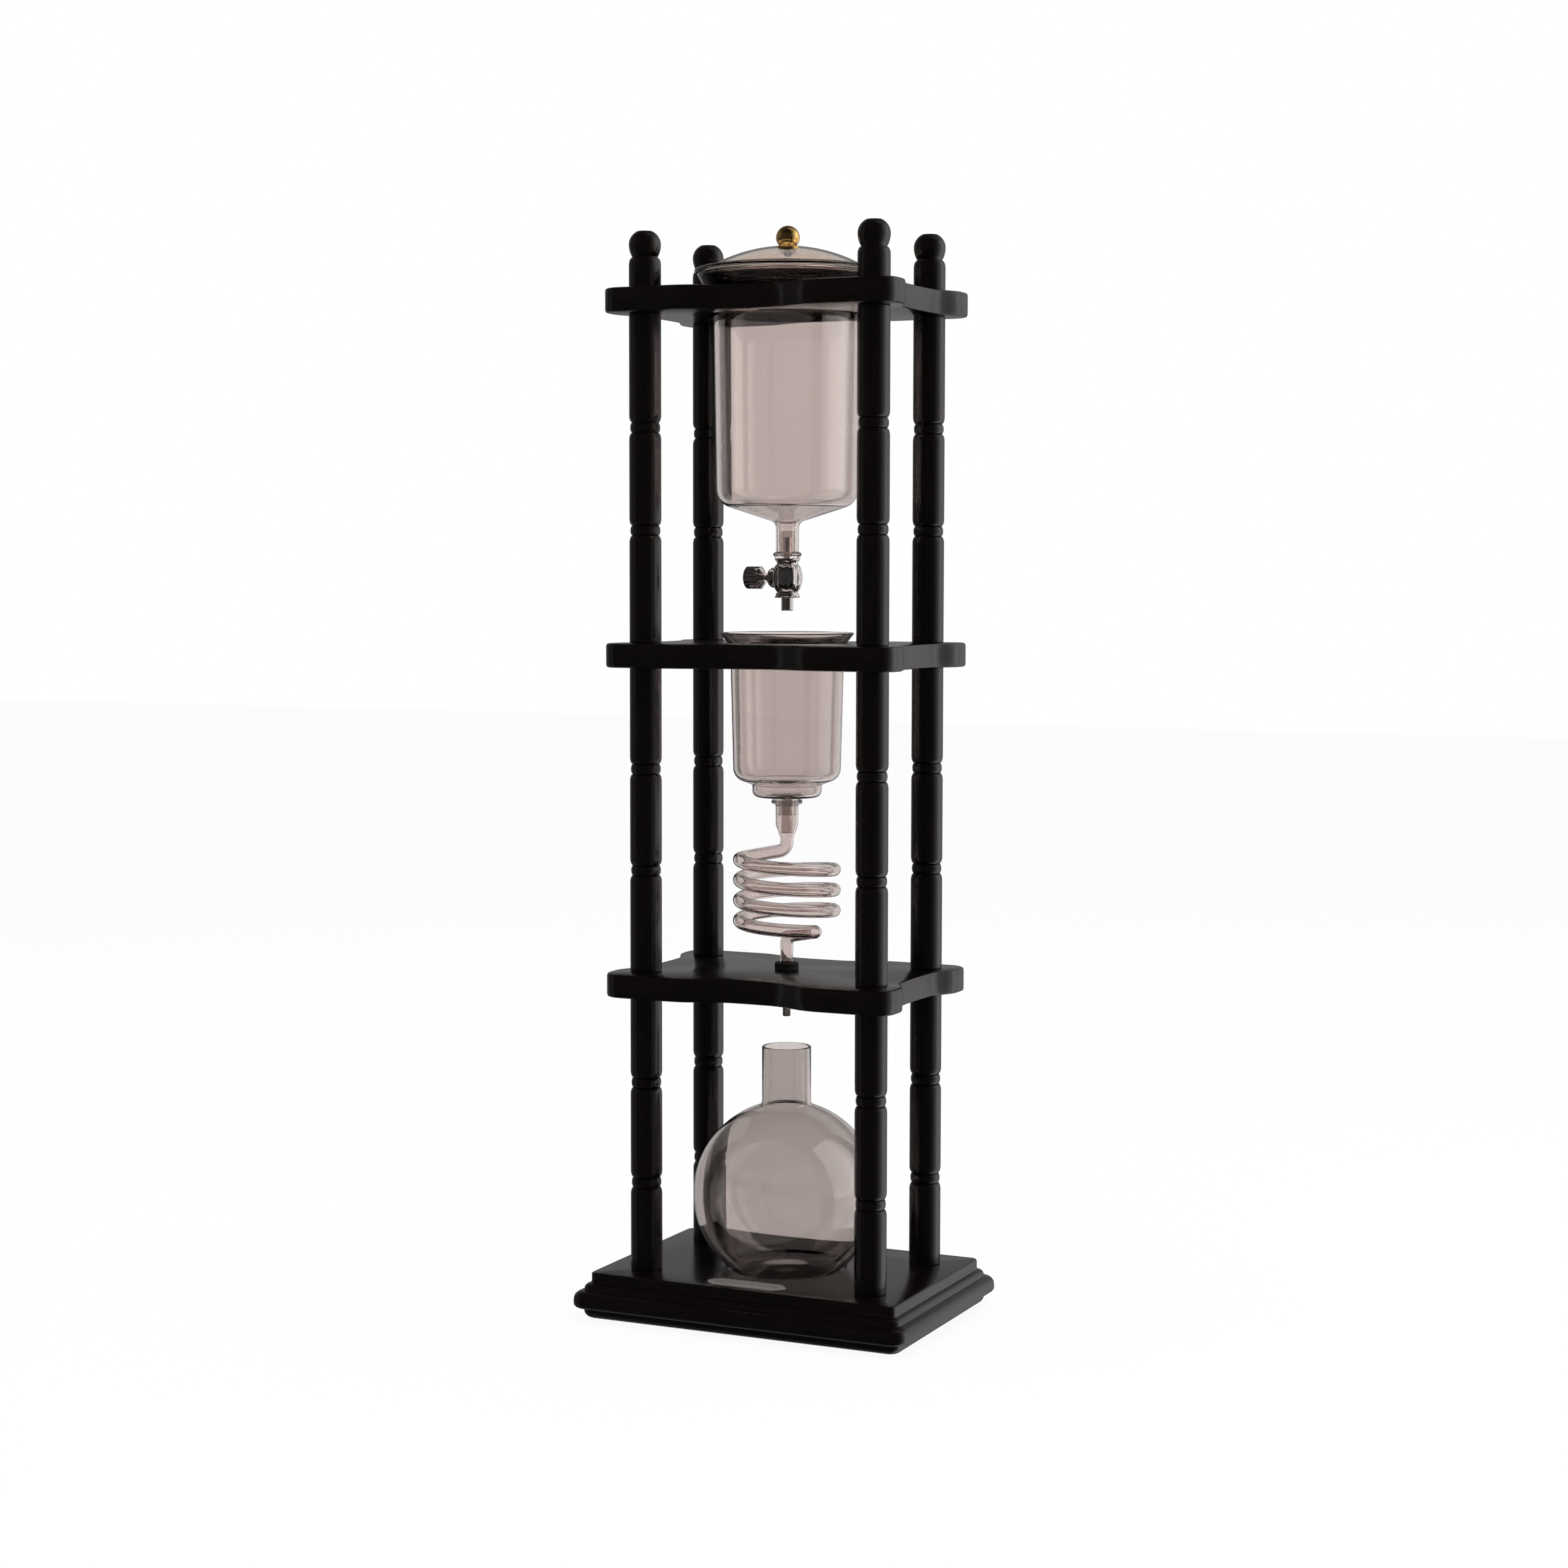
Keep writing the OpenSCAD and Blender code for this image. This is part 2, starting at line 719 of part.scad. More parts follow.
module base() {
    wood() difference() {
        lofted([for (s = base_section()) base_ring(s[0], s[1])]);
        translate([0, 0, recess_z]) cylinder(d = recess_d, h = recess_depth + cut);
        at_pads(pad_out - cut) cylinder(d = pad_d + 2 * close_gap, h = cut + pad_pocket);
        at_posts(pad_out - cut) cylinder(d = screw_d + 2 * close_gap, h = base_h + 2 * cut);
        at_posts(pad_out - cut) cylinder(d = screw_head_d + 2 * close_gap, h = cut + screw_sink);
        for (s = [-1, 1]) translate([s * pin_x, plate_y, base_top - pin_l])
            cylinder(d = pin_d + 2 * close_gap, h = pin_l + cut);
    }
}

module rubber_pads() {
    rubber() at_pads(0) cylinder(d = pad_d, h = pad_out + pad_pocket);
}

// Countersunk screws that come up through the base into the lower spindles
module base_screws() {
    steel() at_posts(pad_out + screw_sink) {
        translate([0, 0, -screw_head_h]) cylinder(d1 = screw_head_d, d2 = screw_d, h = screw_head_h);
        cylinder(d = screw_d, h = base_h - screw_sink + screw_grip);
    }
}

// The bare plate on the front of the base, with cut corners and two pins
module name_plate() {
    hx = plate_l / 2;
    hy = plate_w / 2;
    c = plate_corner;
    steel() translate([0, plate_y, base_top]) difference() {
        linear_extrude(plate_t) polygon([
            [hx - c, -hy], [hx, c - hy], [hx, hy - c], [hx - c, hy],
            [c - hx, hy], [-hx, hy - c], [-hx, c - hy], [c - hx, -hy]
        ]);
        for (s = [-1, 1]) translate([s * pin_x, 0, -cut])
            cylinder(d = pin_d + 2 * close_gap, h = plate_t + 2 * cut);
    }
}

module plate_pins() {
    steel() for (s = [-1, 1]) translate([s * pin_x, plate_y, base_top + plate_t]) {
        translate([0, 0, -pin_l]) cylinder(d = pin_d, h = pin_l);
        cylinder(d1 = pin_head_d, d2 = pin_d, h = pin_head_h);
    }
}

// Half section of the flask's outer face, or of its inner face at off = wall, from the
// bottom up: flat foot, round body, fillet and straight neck
function flask_side(off) =
    let (
        r = flask_d / 2,
        belly = flask_belly_h,
        foot_x = flask_foot_x,
        foot_a = atan2(flask_foot_r - belly, foot_x),
        neck_x = flask_neck_d / 2 + flask_fillet_r,
        neck_z = sqrt(pow(r + flask_fillet_r, 2) - pow(neck_x, 2)),
        neck_a = atan2(neck_z, neck_x)
    )
    concat(
        arc(foot_x, flask_foot_r, flask_foot_r - off, flask_foot_r - off, -90, foot_a, 4),
        arc(0, belly, r - off, r - off, foot_a + 6, neck_a - 6, 16),
        arc(neck_x, belly + neck_z, flask_fillet_r + off, flask_fillet_r + off,
            180 + neck_a, 180, 4)
    );

module flask() {
    neck_r = flask_neck_d / 2;
    w = flask_wall;
    glass() translate([0, 0, recess_z]) turned(concat(
        [[0, 0]],
        flask_side(0),
        arc(neck_r - w / 2, flask_h - w / 2, w / 2, w / 2, 0, 180, 6),
        reversed(flask_side(w)),
        [[0, w]]
    ));
}

// The lead-in of the spiral in its own frame: down the axis, round a bend, out along +X and
// round a level bend into the turns, which it meets at the height zero
function lead_in() = concat(
    [for (i = [0:5]) let (a = (90 - lead_slope) * i / 5)
        [bend_r * (1 - cos(a)), 0, lead_h - bend_r * sin(a)]],
    [[run_start + run_l / 2, 0,
        lead_h - bend_r * cos(lead_slope) - run_l / 2 * tan(lead_slope)]],
    [for (i = [0:6]) let (left = 1 - i / 6, a = (90 + bend_turn) * (1 - left))
        [run_end + bend_r * sin(a), bend_r - bend_r * cos(a),
            fillet_l * left * (pitch_slope + (tan(lead_slope) - pitch_slope) * left / 2)]]
);

// Points turned about the axis, mirrored if side is -1, and raised
function placed(points, angle, side, z) = [for (p = points) let (y = side * p[1])
    [p[0] * cos(angle) - y * sin(angle), p[0] * sin(angle) + y * cos(angle), z + side * p[2]]];

coil_steps = round(360 * coil_turns / coil_ring_step);
coil_end = coil_start + 360 * coil_turns;
upper_lead = placed(lead_in(), coil_start - bend_turn, 1, coil_start_z);
lower_lead = reversed(placed(lead_in(), coil_end + bend_turn, -1, coil_end_z));
coil_turn_points = [for (i = [1:coil_steps - 1]) let (u = i / coil_steps,
        a = coil_start + 360 * coil_turns * u)
    [coil_r * cos(a), coil_r * sin(a), coil_start_z - coil_turns * coil_pitch * u]];

// Straight ends of the spiral as [height, outer radius, bore radius]: the start inside the
// socket's throat at the top, and the riser, its taper and the drip tip at the bottom
tube_r = coil_tube_d / 2;
bore_r = coil_bore_d / 2;
stub_clear_r = stub_d / 2 + close_gap;
riser_end_z = lower_top + grommet_h / 2;
coil_tip_z = lower_under - tip_drop;
socket_stations = [[throat_z - throat_l / 6, tube_r, bore_r]];
outlet_stations = [
    [riser_end_z + tip_taper_l, riser_d / 2, bore_r - (tube_r - riser_d / 2)],
    [riser_end_z, riser_d / 2, bore_r - (tube_r - riser_d / 2)],
    [riser_end_z - tip_taper_l, tip_d / 2, tip_bore_d / 2],
    [coil_tip_z, tip_d / 2, tip_bore_d / 2]
];

coil_path = concat(
    [for (s = socket_stations) [0, 0, s[0]]],
    upper_lead, coil_turn_points, lower_lead,
    [for (s = outlet_stations) [0, 0, s[0]]]
);
plain_count = len(upper_lead) + len(coil_turn_points) + len(lower_lead);
coil_outer = concat(
    [for (s = socket_stations) s[1]],
    [for (i = [1:plain_count]) tube_r],
    [for (s = outlet_stations) s[1]]
);
coil_inner = concat(
    [for (s = socket_stations) s[2]],
    [for (i = [1:plain_count]) bore_r],
    [for (s = outlet_stations) s[2]]
);

function unit(v) = v / norm(v);

// Direction of a path at each of its points
function directions(path) =
    let (last = len(path) - 1)
    [for (i = [0:last]) unit(path[min(i + 1, last)] - path[max(i - 1, 0)])];

// A side vector for each direction, carried along the path without twist
function carried(dirs, i, side) =
    i == len(dirs) ? [] :
    let (s = unit(side - (side * dirs[i]) * dirs[i]))
    concat([s], carried(dirs, i + 1, s));

// A tube with a bore along a path, with its own outer and bore radius at each point
module swept_tube(path, outer, inner, sides) {
    dirs = directions(path);
    across = carried(dirs, 0, [1, 0, 0]);
    last = len(path) - 1;
    ring = function(i, r) [for (k = [0:sides - 1]) let (a = 360 * k / sides)
        path[i] + r * (cos(a) * across[i] + sin(a) * cross(dirs[i], across[i]))];
    half = (last + 1) * sides;
    polyhedron(
        points = concat(
            [for (i = [0:last]) each ring(i, outer[i])],
            [for (i = [0:last]) each ring(i, inner[i])]
        ),
        faces = concat(
            [for (i = [0:last - 1], k = [0:sides - 1]) let (a = i * sides, b = (k + 1) % sides)
                each [[a + k, a + sides + k, a + b], [a + b, a + sides + k, a + sides + b]]],
            [for (i = [0:last - 1], k = [0:sides - 1])
                let (a = half + i * sides, b = (k + 1) % sides)
                each [[a + k, a + b, a + sides + k], [a + b, a + sides + b, a + sides + k]]],
            [for (k = [0:sides - 1]) let (b = (k + 1) % sides)
                each [[k, b, half + k], [b, half + b, half + k]]],
            [for (k = [0:sides - 1]) let (b = (k + 1) % sides, a = last * sides)
                each [[a + k, half + a + k, a + b], [a + b, half + a + k, half + a + b]]]
        )
    );
}

// The rimmed socket, its cone and its throat, which ends inside the wall of the tube
module spiral_socket() {
    mouth = socket_bore_d / 2;
    rim = rim_d / 2;
    wall_r = (tube_r + bore_r) / 2;
    end_z = throat_z - throat_l / 2;
    turned(concat(
        [[mouth, rim_top_z], [mouth, throat_z + cone_l], [stub_clear_r, throat_z],
            [wall_r - throat_wall / 3, end_z], [wall_r + throat_wall / 3, end_z],
            [stub_clear_r + throat_wall, throat_z], [socket_d / 2, throat_z + cone_l]],
        [[socket_d / 2, rim_top_z - rim_h]],
        arc(rim - rim_round, rim_top_z - rim_round, rim_round, rim_round, -90, 90, 8)
    ));
}

module glass_spiral() {
    glass() {
        swept_tube(coil_path, coil_outer, coil_inner, tube_sides);
        spiral_socket();
    }
}

// Least gap of the spiral's tube to itself, over pairs of points at least half a turn apart
coil_skip = ceil(180 / coil_ring_step);
coil_plain = concat(upper_lead, coil_turn_points, lower_lead);
coil_last = len(coil_plain) - 1;
coil_self_gap = min([for (i = [0:coil_last - coil_skip], j = [i + coil_skip:coil_last])
    norm(coil_plain[i] - coil_plain[j])]) - coil_tube_d;
echo(coil_self_gap = coil_self_gap);

// The rubber grommet in the lower shelf, bored for the riser and, below it, for the tip
module grommet() {
    riser_bore = riser_d / 2 + fit_gap / 2;
    tip_bore = tip_d / 2 + fit_gap / 2;
    rubber() turned([
        [riser_bore, lower_top + grommet_h],
        [riser_bore, riser_end_z],
        [tip_bore, riser_end_z - tip_taper_l],
        [tip_bore, lower_top - grommet_plug_l],
        [grommet_plug_d / 2, lower_top - grommet_plug_l],
        [grommet_plug_d / 2, lower_top],
        [grommet_d / 2, lower_top],
        [grommet_d / 2, lower_top + grommet_h - end_chamfer],
        [grommet_d / 2 - end_chamfer, lower_top + grommet_h]
    ]);
}

// The clear seal between the spiral's socket and the stub of the coffee vessel
module socket_seal() {
    inner_r = stub_d / 2 + close_gap;
    outer_r = socket_bore_d / 2 - close_gap;
    silicone() turned([
        [inner_r, rim_top_z - seal_plug_l],
        [outer_r - end_chamfer, rim_top_z - seal_plug_l],
        [outer_r, rim_top_z - seal_plug_l + end_chamfer],
        [outer_r, rim_top_z],
        [seal_flange_d / 2, rim_top_z],
        [seal_flange_d / 2, seal_top_z],
        [inner_r, seal_top_z]
    ]);
}

coffee_cup_r_out = coffee_cup_d / 2;
coffee_shoulder_z = coffee_bottom_z + coffee_cup_h + shoulder_fall(coffee_foot_d / 2,
    coffee_shoulder_r, coffee_turn, coffee_cup_r_out, coffee_fillet_r);

// Section of a vessel's flared lip on its shelf, over the top from the outside to the inside
function lip(lip_d, top_z, round_r) =
    arc(lip_d / 2 - round_r, top_z - round_r, round_r, round_r, 0, 150, 6);

// Depth below the shelf's top face at which the flare meets the body
function flare_depth(seat_r, body_r, share) = (seat_r - body_r) / share;

// The coffee vessel: flared lip, tapered body, shoulder, small cup and outlet stub
module coffee_vessel() {
    w = coffee_wall;
    top_z = middle_top + coffee_lip_rise;
    slant = w / cos(atan(coffee_flare_share));
    flare_z = middle_top - flare_depth(coffee_flare_r, coffee_d / 2, coffee_flare_share);
    inner_flare_z = flare_z + (slant - w) / coffee_flare_share;
    cup_z = coffee_bottom_z + coffee_cup_r;
    cup_x = coffee_cup_r_out - coffee_cup_r;
    outer = concat(
        [[coffee_d / 2, flare_z]],
        shoulder(coffee_foot_d / 2, coffee_shoulder_z, coffee_shoulder_r, coffee_turn,
            coffee_cup_r_out, coffee_fillet_r, 0),
        arc(cup_x, cup_z, coffee_cup_r, coffee_cup_r, 0, -90, 4),
        [[stub_d / 2, coffee_bottom_z], [stub_d / 2, coffee_bottom_z - stub_l]]
    );
    inner = concat(
        [[coffee_d / 2 - w, inner_flare_z]],
        shoulder(coffee_foot_d / 2, coffee_shoulder_z, coffee_shoulder_r, coffee_turn,
            coffee_cup_r_out, coffee_fillet_r, w),
        arc(cup_x, cup_z, coffee_cup_r - w, coffee_cup_r - w, 0, -90, 4),
        [[stub_bore_d / 2, coffee_bottom_z + w], [stub_bore_d / 2, coffee_bottom_z - stub_l]]
    );
    glass() turned(concat(
        reversed(lip(coffee_lip_d, top_z, coffee_lip_round)),
        outer,
        reversed(inner)
    ));
}

water_fall = shoulder_fall(water_foot_d / 2, water_shoulder_r, water_turn, water_neck_d / 2,
    water_fillet_r);
water_straight = water_h - water_lip_rise - flare_depth(water_flare_r, water_d / 2,
    water_flare_share) - water_fall - water_neck_l;

// The water vessel: flared lip, tapered body, shoulder, funnel and beaded neck
module water_vessel() {
    w = water_wall;
    slant = w / cos(atan(water_flare_share));
    flare_z = top_top - flare_depth(water_flare_r, water_d / 2, water_flare_share);
    inner_flare_z = flare_z + (slant - w) / water_flare_share;
    shoulder_z = flare_z - water_straight;
    neck_r = water_neck_d / 2;
    bead_r = neck_bead_h / 2;
    glass() turned(concat(
        reversed(lip(water_lip_d, lip_top_z, water_lip_round)),
        [[water_d / 2, flare_z]],
        shoulder(water_foot_d / 2, shoulder_z, water_shoulder_r, water_turn, neck_r,
            water_fillet_r, 0),
        [[neck_r, neck_end_z + neck_bead_h + end_chamfer]],
        arc(neck_bead_d / 2 - bead_r, neck_end_z + bead_r, bead_r, bead_r, 90, -90, 8),
        [[neck_r - w, neck_end_z]],
        reversed(concat(
            [[water_d / 2 - w, inner_flare_z]],
            shoulder(water_foot_d / 2, shoulder_z, water_shoulder_r, water_turn, neck_r,
                water_fillet_r, w)
        ))
    ));
}

// Radius and centre height of the lid's outer dome, from its rise over the dome's foot
dome_foot_z = brim_top_z + brim_edge_r;
dome_r = (pow(dome_d / 2, 2) + pow(dome_rise, 2)) / (2 * dome_rise);
dome_centre_z = dome_apex_z - dome_r;

// Height of the dome's outer face, or of its inner face at off = lid_t, at the radius x
function dome_z(x, off) = dome_centre_z + sqrt(pow(dome_r - off, 2) - x * x);

// The lid: a low dome, a stepped brim with raised rings, and a ring that keeps it centred
module lid() {
    edge_x = lid_d / 2 - brim_edge_r;
    foot = dome_d / 2;
    ring_out = locator_d / 2;
    ring_in = ring_out - locator_w;
    hole_r = knob_screw_d / 2 + close_gap;
    step = (edge_x - foot) / 4;
    glass() turned(concat(
        [for (i = [0:8]) let (x = hole_r + (foot - hole_r) * i / 8) [x, dome_z(x, 0)]],
        [[foot + step * 0.2, brim_top_z + bead_ring_r * 0.6]],
        arc(foot + step, brim_top_z, step * 0.6, bead_ring_r, 180, 0, 6),
        arc(foot + 2.6 * step, brim_top_z - bead_ring_r / 2, step * 0.6, bead_ring_r, 160, 0, 6),
        arc(edge_x, brim_under_z + brim_edge_r, brim_edge_r, brim_edge_r, 60, -90, 8),
        [[ring_out, brim_under_z], [ring_out - end_chamfer, brim_under_z - locator_h],
            [ring_in, brim_under_z - locator_h], [ring_in, dome_z(ring_in - lid_t, lid_t)]],
        [for (i = [7:-1:0]) let (x = hole_r + (ring_in - lid_t - hole_r) * i / 7)
            [x, dome_z(x, lid_t)]]
    ));
}

ball_r = ball_d / 2;
ball_z = dome_apex_z + ball_r * ball_seat_share;

// The ball knob, flat where it sits on the dome and bored for its screw
module lid_knob() {
    color([0.83, 0.6, 0.22]) difference() {
        translate([0, 0, ball_z]) sphere(r = ball_r);
        translate([0, 0, dome_apex_z - ball_d]) cylinder(r = ball_r, h = ball_d);
        translate([0, 0, dome_apex_z - cut])
            cylinder(d = knob_screw_d + 2 * close_gap, h = cut + knob_screw_l - lid_t);
    }
}

knob_washer_z = dome_z(knob_washer_d / 2, lid_t) - knob_washer_t - close_gap;

module knob_washer() {
    silicone() translate([0, 0, knob_washer_z]) difference() {
        cylinder(d = knob_washer_d, h = knob_washer_t);
        translate([0, 0, -cut])
            cylinder(d = knob_screw_d + 2 * close_gap, h = knob_washer_t + 2 * cut);
    }
}

module knob_screw() {
    steel() translate([0, 0, knob_washer_z]) {
        translate([0, 0, -knob_screw_head_h])
            cylinder(d1 = knob_screw_head_d - knob_screw_head_h, d2 = knob_screw_head_d,
                h = knob_screw_head_h);
        cylinder(d = knob_screw_d, h = knob_screw_l - lid_t);
    }
}

// The silicone bush that holds the tap's inlet in the vessel's neck
module tap_bush() {
    bore = inlet_d / 2 + close_gap;
    plug_r = water_neck_d / 2 - water_wall - close_gap;
    silicone() turned([
        [bore, tap_top_z],
        [bush_flange_d / 2, tap_top_z],
        [bush_flange_d / 2, neck_end_z],
        [plug_r, neck_end_z],
        [plug_r - end_chamfer, neck_end_z + bush_plug_l],
        [bore, neck_end_z + bush_plug_l]
    ]);
}

// Section of the tap body as [radius, height over its foot, share of the lobes' depth]
tap_neck_z = tap_h - tap_flange_t - tap_waist_l;
tap_belly_z = tap_axis_share * tap_h;
tap_belly_half = tap_d / 2 * belly_stretch_share;
function belly_r(z) = tap_d / 2 * sqrt(1 - pow((z - tap_belly_z) / tap_belly_half, 2));
tap_section = concat(
    [[tap_foot_d / 2, 0, 0], [tap_foot_d / 2, tap_foot_t, 0],
        [(tap_foot_d + tap_foot_waist_d) / 4, tap_foot_l / 2, 0],
        [tap_foot_waist_d / 2, tap_foot_l, 0]],
    [for (i = [0:8]) let (z = tap_foot_l + (tap_neck_z - tap_foot_l) * (i + 0.5) / 9)
        [belly_r(z), z, sin(180 * (i + 0.5) / 9)]],
    [[tap_waist_d / 2, tap_neck_z + tap_waist_l / 3, 0],
        [tap_waist_d / 2, tap_neck_z + tap_waist_l / 2, 0],
        [tap_flange_d / 2, tap_h - tap_flange_t, 0], [tap_flange_d / 2, tap_h, 0]]
);

// One ring of the body: lobes that bulge between sharp valleys
function tap_ring(s) = [for (k = [0:6 * tap_lobes - 1]) let (
        a = 60 / tap_lobes * k,
        r = s[0] * (1 - lobe_depth_share * s[2] * (1 - abs(cos(tap_lobes * a / 2)))))
    [r * cos(a), r * sin(a), tap_foot_z + s[1]]];

// Turns a piece made along +Z so that it points to -X from the middle of the tap
module along_stem() {
    translate([0, 0, tap_axis_z]) rotate([0, -90, 0]) children();
}

stem_bore = stem_d + 2 * stem_gap;

module tap_body() {
    chrome() difference() {
        union() {
            lofted([for (s = tap_section) tap_ring(s)]);
            along_stem() cylinder(d = boss_d, h = boss_reach);
            translate([0, 0, tap_top_z]) for (i = [0:inlet_barbs - 1])
                translate([0, 0, i * inlet_l / inlet_barbs])
                    cylinder(d1 = inlet_d, d2 = inlet_d - 2 * barb_depth, h = inlet_l / inlet_barbs);
        }
        translate([0, 0, tap_foot_z - cut])
            cylinder(d = spout_tail_d + 2 * close_gap, h = cut + spout_tail_l + close_gap);
        translate([0, 0, tap_foot_z]) cylinder(d = tap_bore_d, h = tap_h + inlet_l + cut);
        along_stem() {
            cylinder(d = stem_bore, h = boss_reach + cut);
            translate([0, 0, boss_reach]) cylinder(d = bonnet_d + 2 * fit_gap, h = tap_d);
            translate([0, 0, -needle_reach - close_gap])
                cylinder(d1 = needle_tip_d + 2 * close_gap, d2 = stem_bore,
                    h = needle_reach + close_gap);
            translate([0, 0, boss_reach - gland_depth])
                cylinder(d = gland_d + 2 * close_gap, h = gland_depth + cut);
        }
    }
}

// The packing ring that seals the stem
module tap_packing() {
    rubber() along_stem() translate([0, 0, boss_reach - gland_depth]) difference() {
        cylinder(d = gland_d, h = gland_depth - spigot_l);
        translate([0, 0, -cut]) cylinder(d = stem_bore, h = gland_depth + cut);
    }
}

// The bonnet that presses on the packing, with its spigot, round shoulder and neck
module tap_bonnet() {
    chrome() along_stem() translate([0, 0, boss_reach]) difference() {
        turned(concat(
            [[0, -spigot_l], [gland_d / 2, -spigot_l], [gland_d / 2, 0]],
            [[bonnet_d / 2, 0]],
            arc(bonnet_d / 2 - end_chamfer, bonnet_l - end_chamfer, end_chamfer, end_chamfer,
                0, 60, 3),
            arc(bonnet_neck_d / 2, bonnet_l, (bonnet_d - bonnet_neck_d) / 2 - end_chamfer,
                bonnet_cone_l, 0, 90, 5),
            [[bonnet_neck_d / 2, bonnet_l + bonnet_cone_l + bonnet_neck_l],
                [0, bonnet_l + bonnet_cone_l + bonnet_neck_l]]
        ));
        translate([0, 0, -spigot_l - cut])
            cylinder(d = stem_bore, h = spigot_l + bonnet_l + bonnet_cone_l + bonnet_neck_l
                + 2 * cut);
    }
}

// The stem with the needle that closes the bore of the tap
module tap_stem() {
    chrome() along_stem() {
        cylinder(d = stem_d, h = knob_reach + stem_socket_l - close_gap);
        translate([0, 0, -needle_reach])
            cylinder(d1 = needle_tip_d, d2 = stem_d, h = needle_reach);
    }
}

// The fluted knob with its round face and coned back
module tap_knob() {
    chrome() along_stem() translate([0, 0, knob_reach]) difference() {
        turned(concat(
            [[0, 0], [knob_hub_d / 2, 0], [knob_d / 2, knob_back_l]],
            arc(knob_d / 2 - knob_face_r, knob_l - knob_face_r, knob_face_r, knob_face_r, 0, 90, 4),
            [[0, knob_l]]
        ));
        translate([0, 0, -cut]) cylinder(d = stem_bore, h = cut + stem_socket_l);
        for (i = [0:knob_flutes - 1]) rotate(360 * i / knob_flutes)
            translate([knob_d / 2 * flute_share, 0, -cut])
                cylinder(d = flute_d, h = knob_l + 2 * cut);
    }
}

// The spout that is pushed into the foot of the tap
module tap_spout() {
    r = spout_d / 2;
    bore = tap_bore_d / 2;
    chrome() turned(concat(
        [[bore, tap_foot_z + spout_tail_l], [bore, spout_z]],
        arc(r - spout_round, spout_z + spout_round, spout_round, spout_round, -90, 0, 4),
        [[r, tap_foot_z], [spout_tail_d / 2, tap_foot_z],
            [spout_tail_d / 2, tap_foot_z + spout_tail_l]]
    ));
}

base();
rubber_pads();
name_plate();
plate_pins();
base_screws();
lower_spindle(-1, -1);  // lower_spindle_front_left
lower_spindle(1, -1);  // lower_spindle_front_right
lower_spindle(-1, 1);  // lower_spindle_back_left
lower_spindle(1, 1);  // lower_spindle_back_right
lower_shelf();
lower_shelf_studs();
middle_spindle(-1, -1);  // middle_spindle_front_left
middle_spindle(1, -1);  // middle_spindle_front_right
middle_spindle(-1, 1);  // middle_spindle_back_left
middle_spindle(1, 1);  // middle_spindle_back_right
middle_shelf();
middle_shelf_studs();
upper_spindle(-1, -1);  // upper_spindle_front_left
upper_spindle(1, -1);  // upper_spindle_front_right
upper_spindle(-1, 1);  // upper_spindle_back_left
upper_spindle(1, 1);  // upper_spindle_back_right
top_shelf();
top_shelf_studs();
finial(-1, -1);  // finial_front_left
finial(1, -1);  // finial_front_right
finial(-1, 1);  // finial_back_left
finial(1, 1);  // finial_back_right
grommet();
glass_spiral();
socket_seal();
coffee_vessel();
water_vessel();
lid();
lid_knob();
knob_screw();
knob_washer();
tap_bush();
tap_body();
tap_packing();
tap_bonnet();
tap_stem();
tap_knob();
tap_spout();
flask();
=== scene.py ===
"""Looks of the cold drip coffee tower: glass, black wood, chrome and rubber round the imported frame.

Sizes are in millimetres and MM turns them into metres. Only the lamps are placed in metres.
Heights come from the frame, so each piece stays where its CAD node is.
"""

import math

import bpy
from mathutils import Matrix, Vector


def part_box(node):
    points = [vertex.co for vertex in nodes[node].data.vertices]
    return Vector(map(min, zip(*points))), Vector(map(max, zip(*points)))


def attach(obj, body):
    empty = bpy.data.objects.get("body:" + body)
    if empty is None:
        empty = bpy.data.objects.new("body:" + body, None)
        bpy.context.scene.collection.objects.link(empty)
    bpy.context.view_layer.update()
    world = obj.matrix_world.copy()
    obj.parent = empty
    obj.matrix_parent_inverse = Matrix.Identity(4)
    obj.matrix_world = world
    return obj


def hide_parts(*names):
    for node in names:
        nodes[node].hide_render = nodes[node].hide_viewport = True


MM = 0.001

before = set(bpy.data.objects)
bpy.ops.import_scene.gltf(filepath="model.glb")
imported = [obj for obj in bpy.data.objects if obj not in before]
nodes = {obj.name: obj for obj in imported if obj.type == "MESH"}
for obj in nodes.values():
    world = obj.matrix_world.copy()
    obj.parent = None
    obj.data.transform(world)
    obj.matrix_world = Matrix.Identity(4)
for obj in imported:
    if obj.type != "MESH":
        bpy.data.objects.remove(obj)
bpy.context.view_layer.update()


def top_of(node):
    """Height of a node's highest point, in millimetres."""
    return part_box(node)[1].z / MM


def bottom_of(node):
    """Height of a node's lowest point, in millimetres."""
    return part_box(node)[0].z / MM


# Camera, fitted to the posts of the photograph

PHOTO_PX = 1568
FOCAL_PX = 2922.967
SENSOR_MM = 36
CAMERA_YAW = math.radians(24.8986)
CAMERA_PITCH = math.radians(4.17295)
CAMERA_ROLL = math.radians(0.09089)
CAMERA_DISTANCE = 2166.036
CAMERA_HEIGHT = 556.256
CAMERA_SIDEWAYS = -2.23


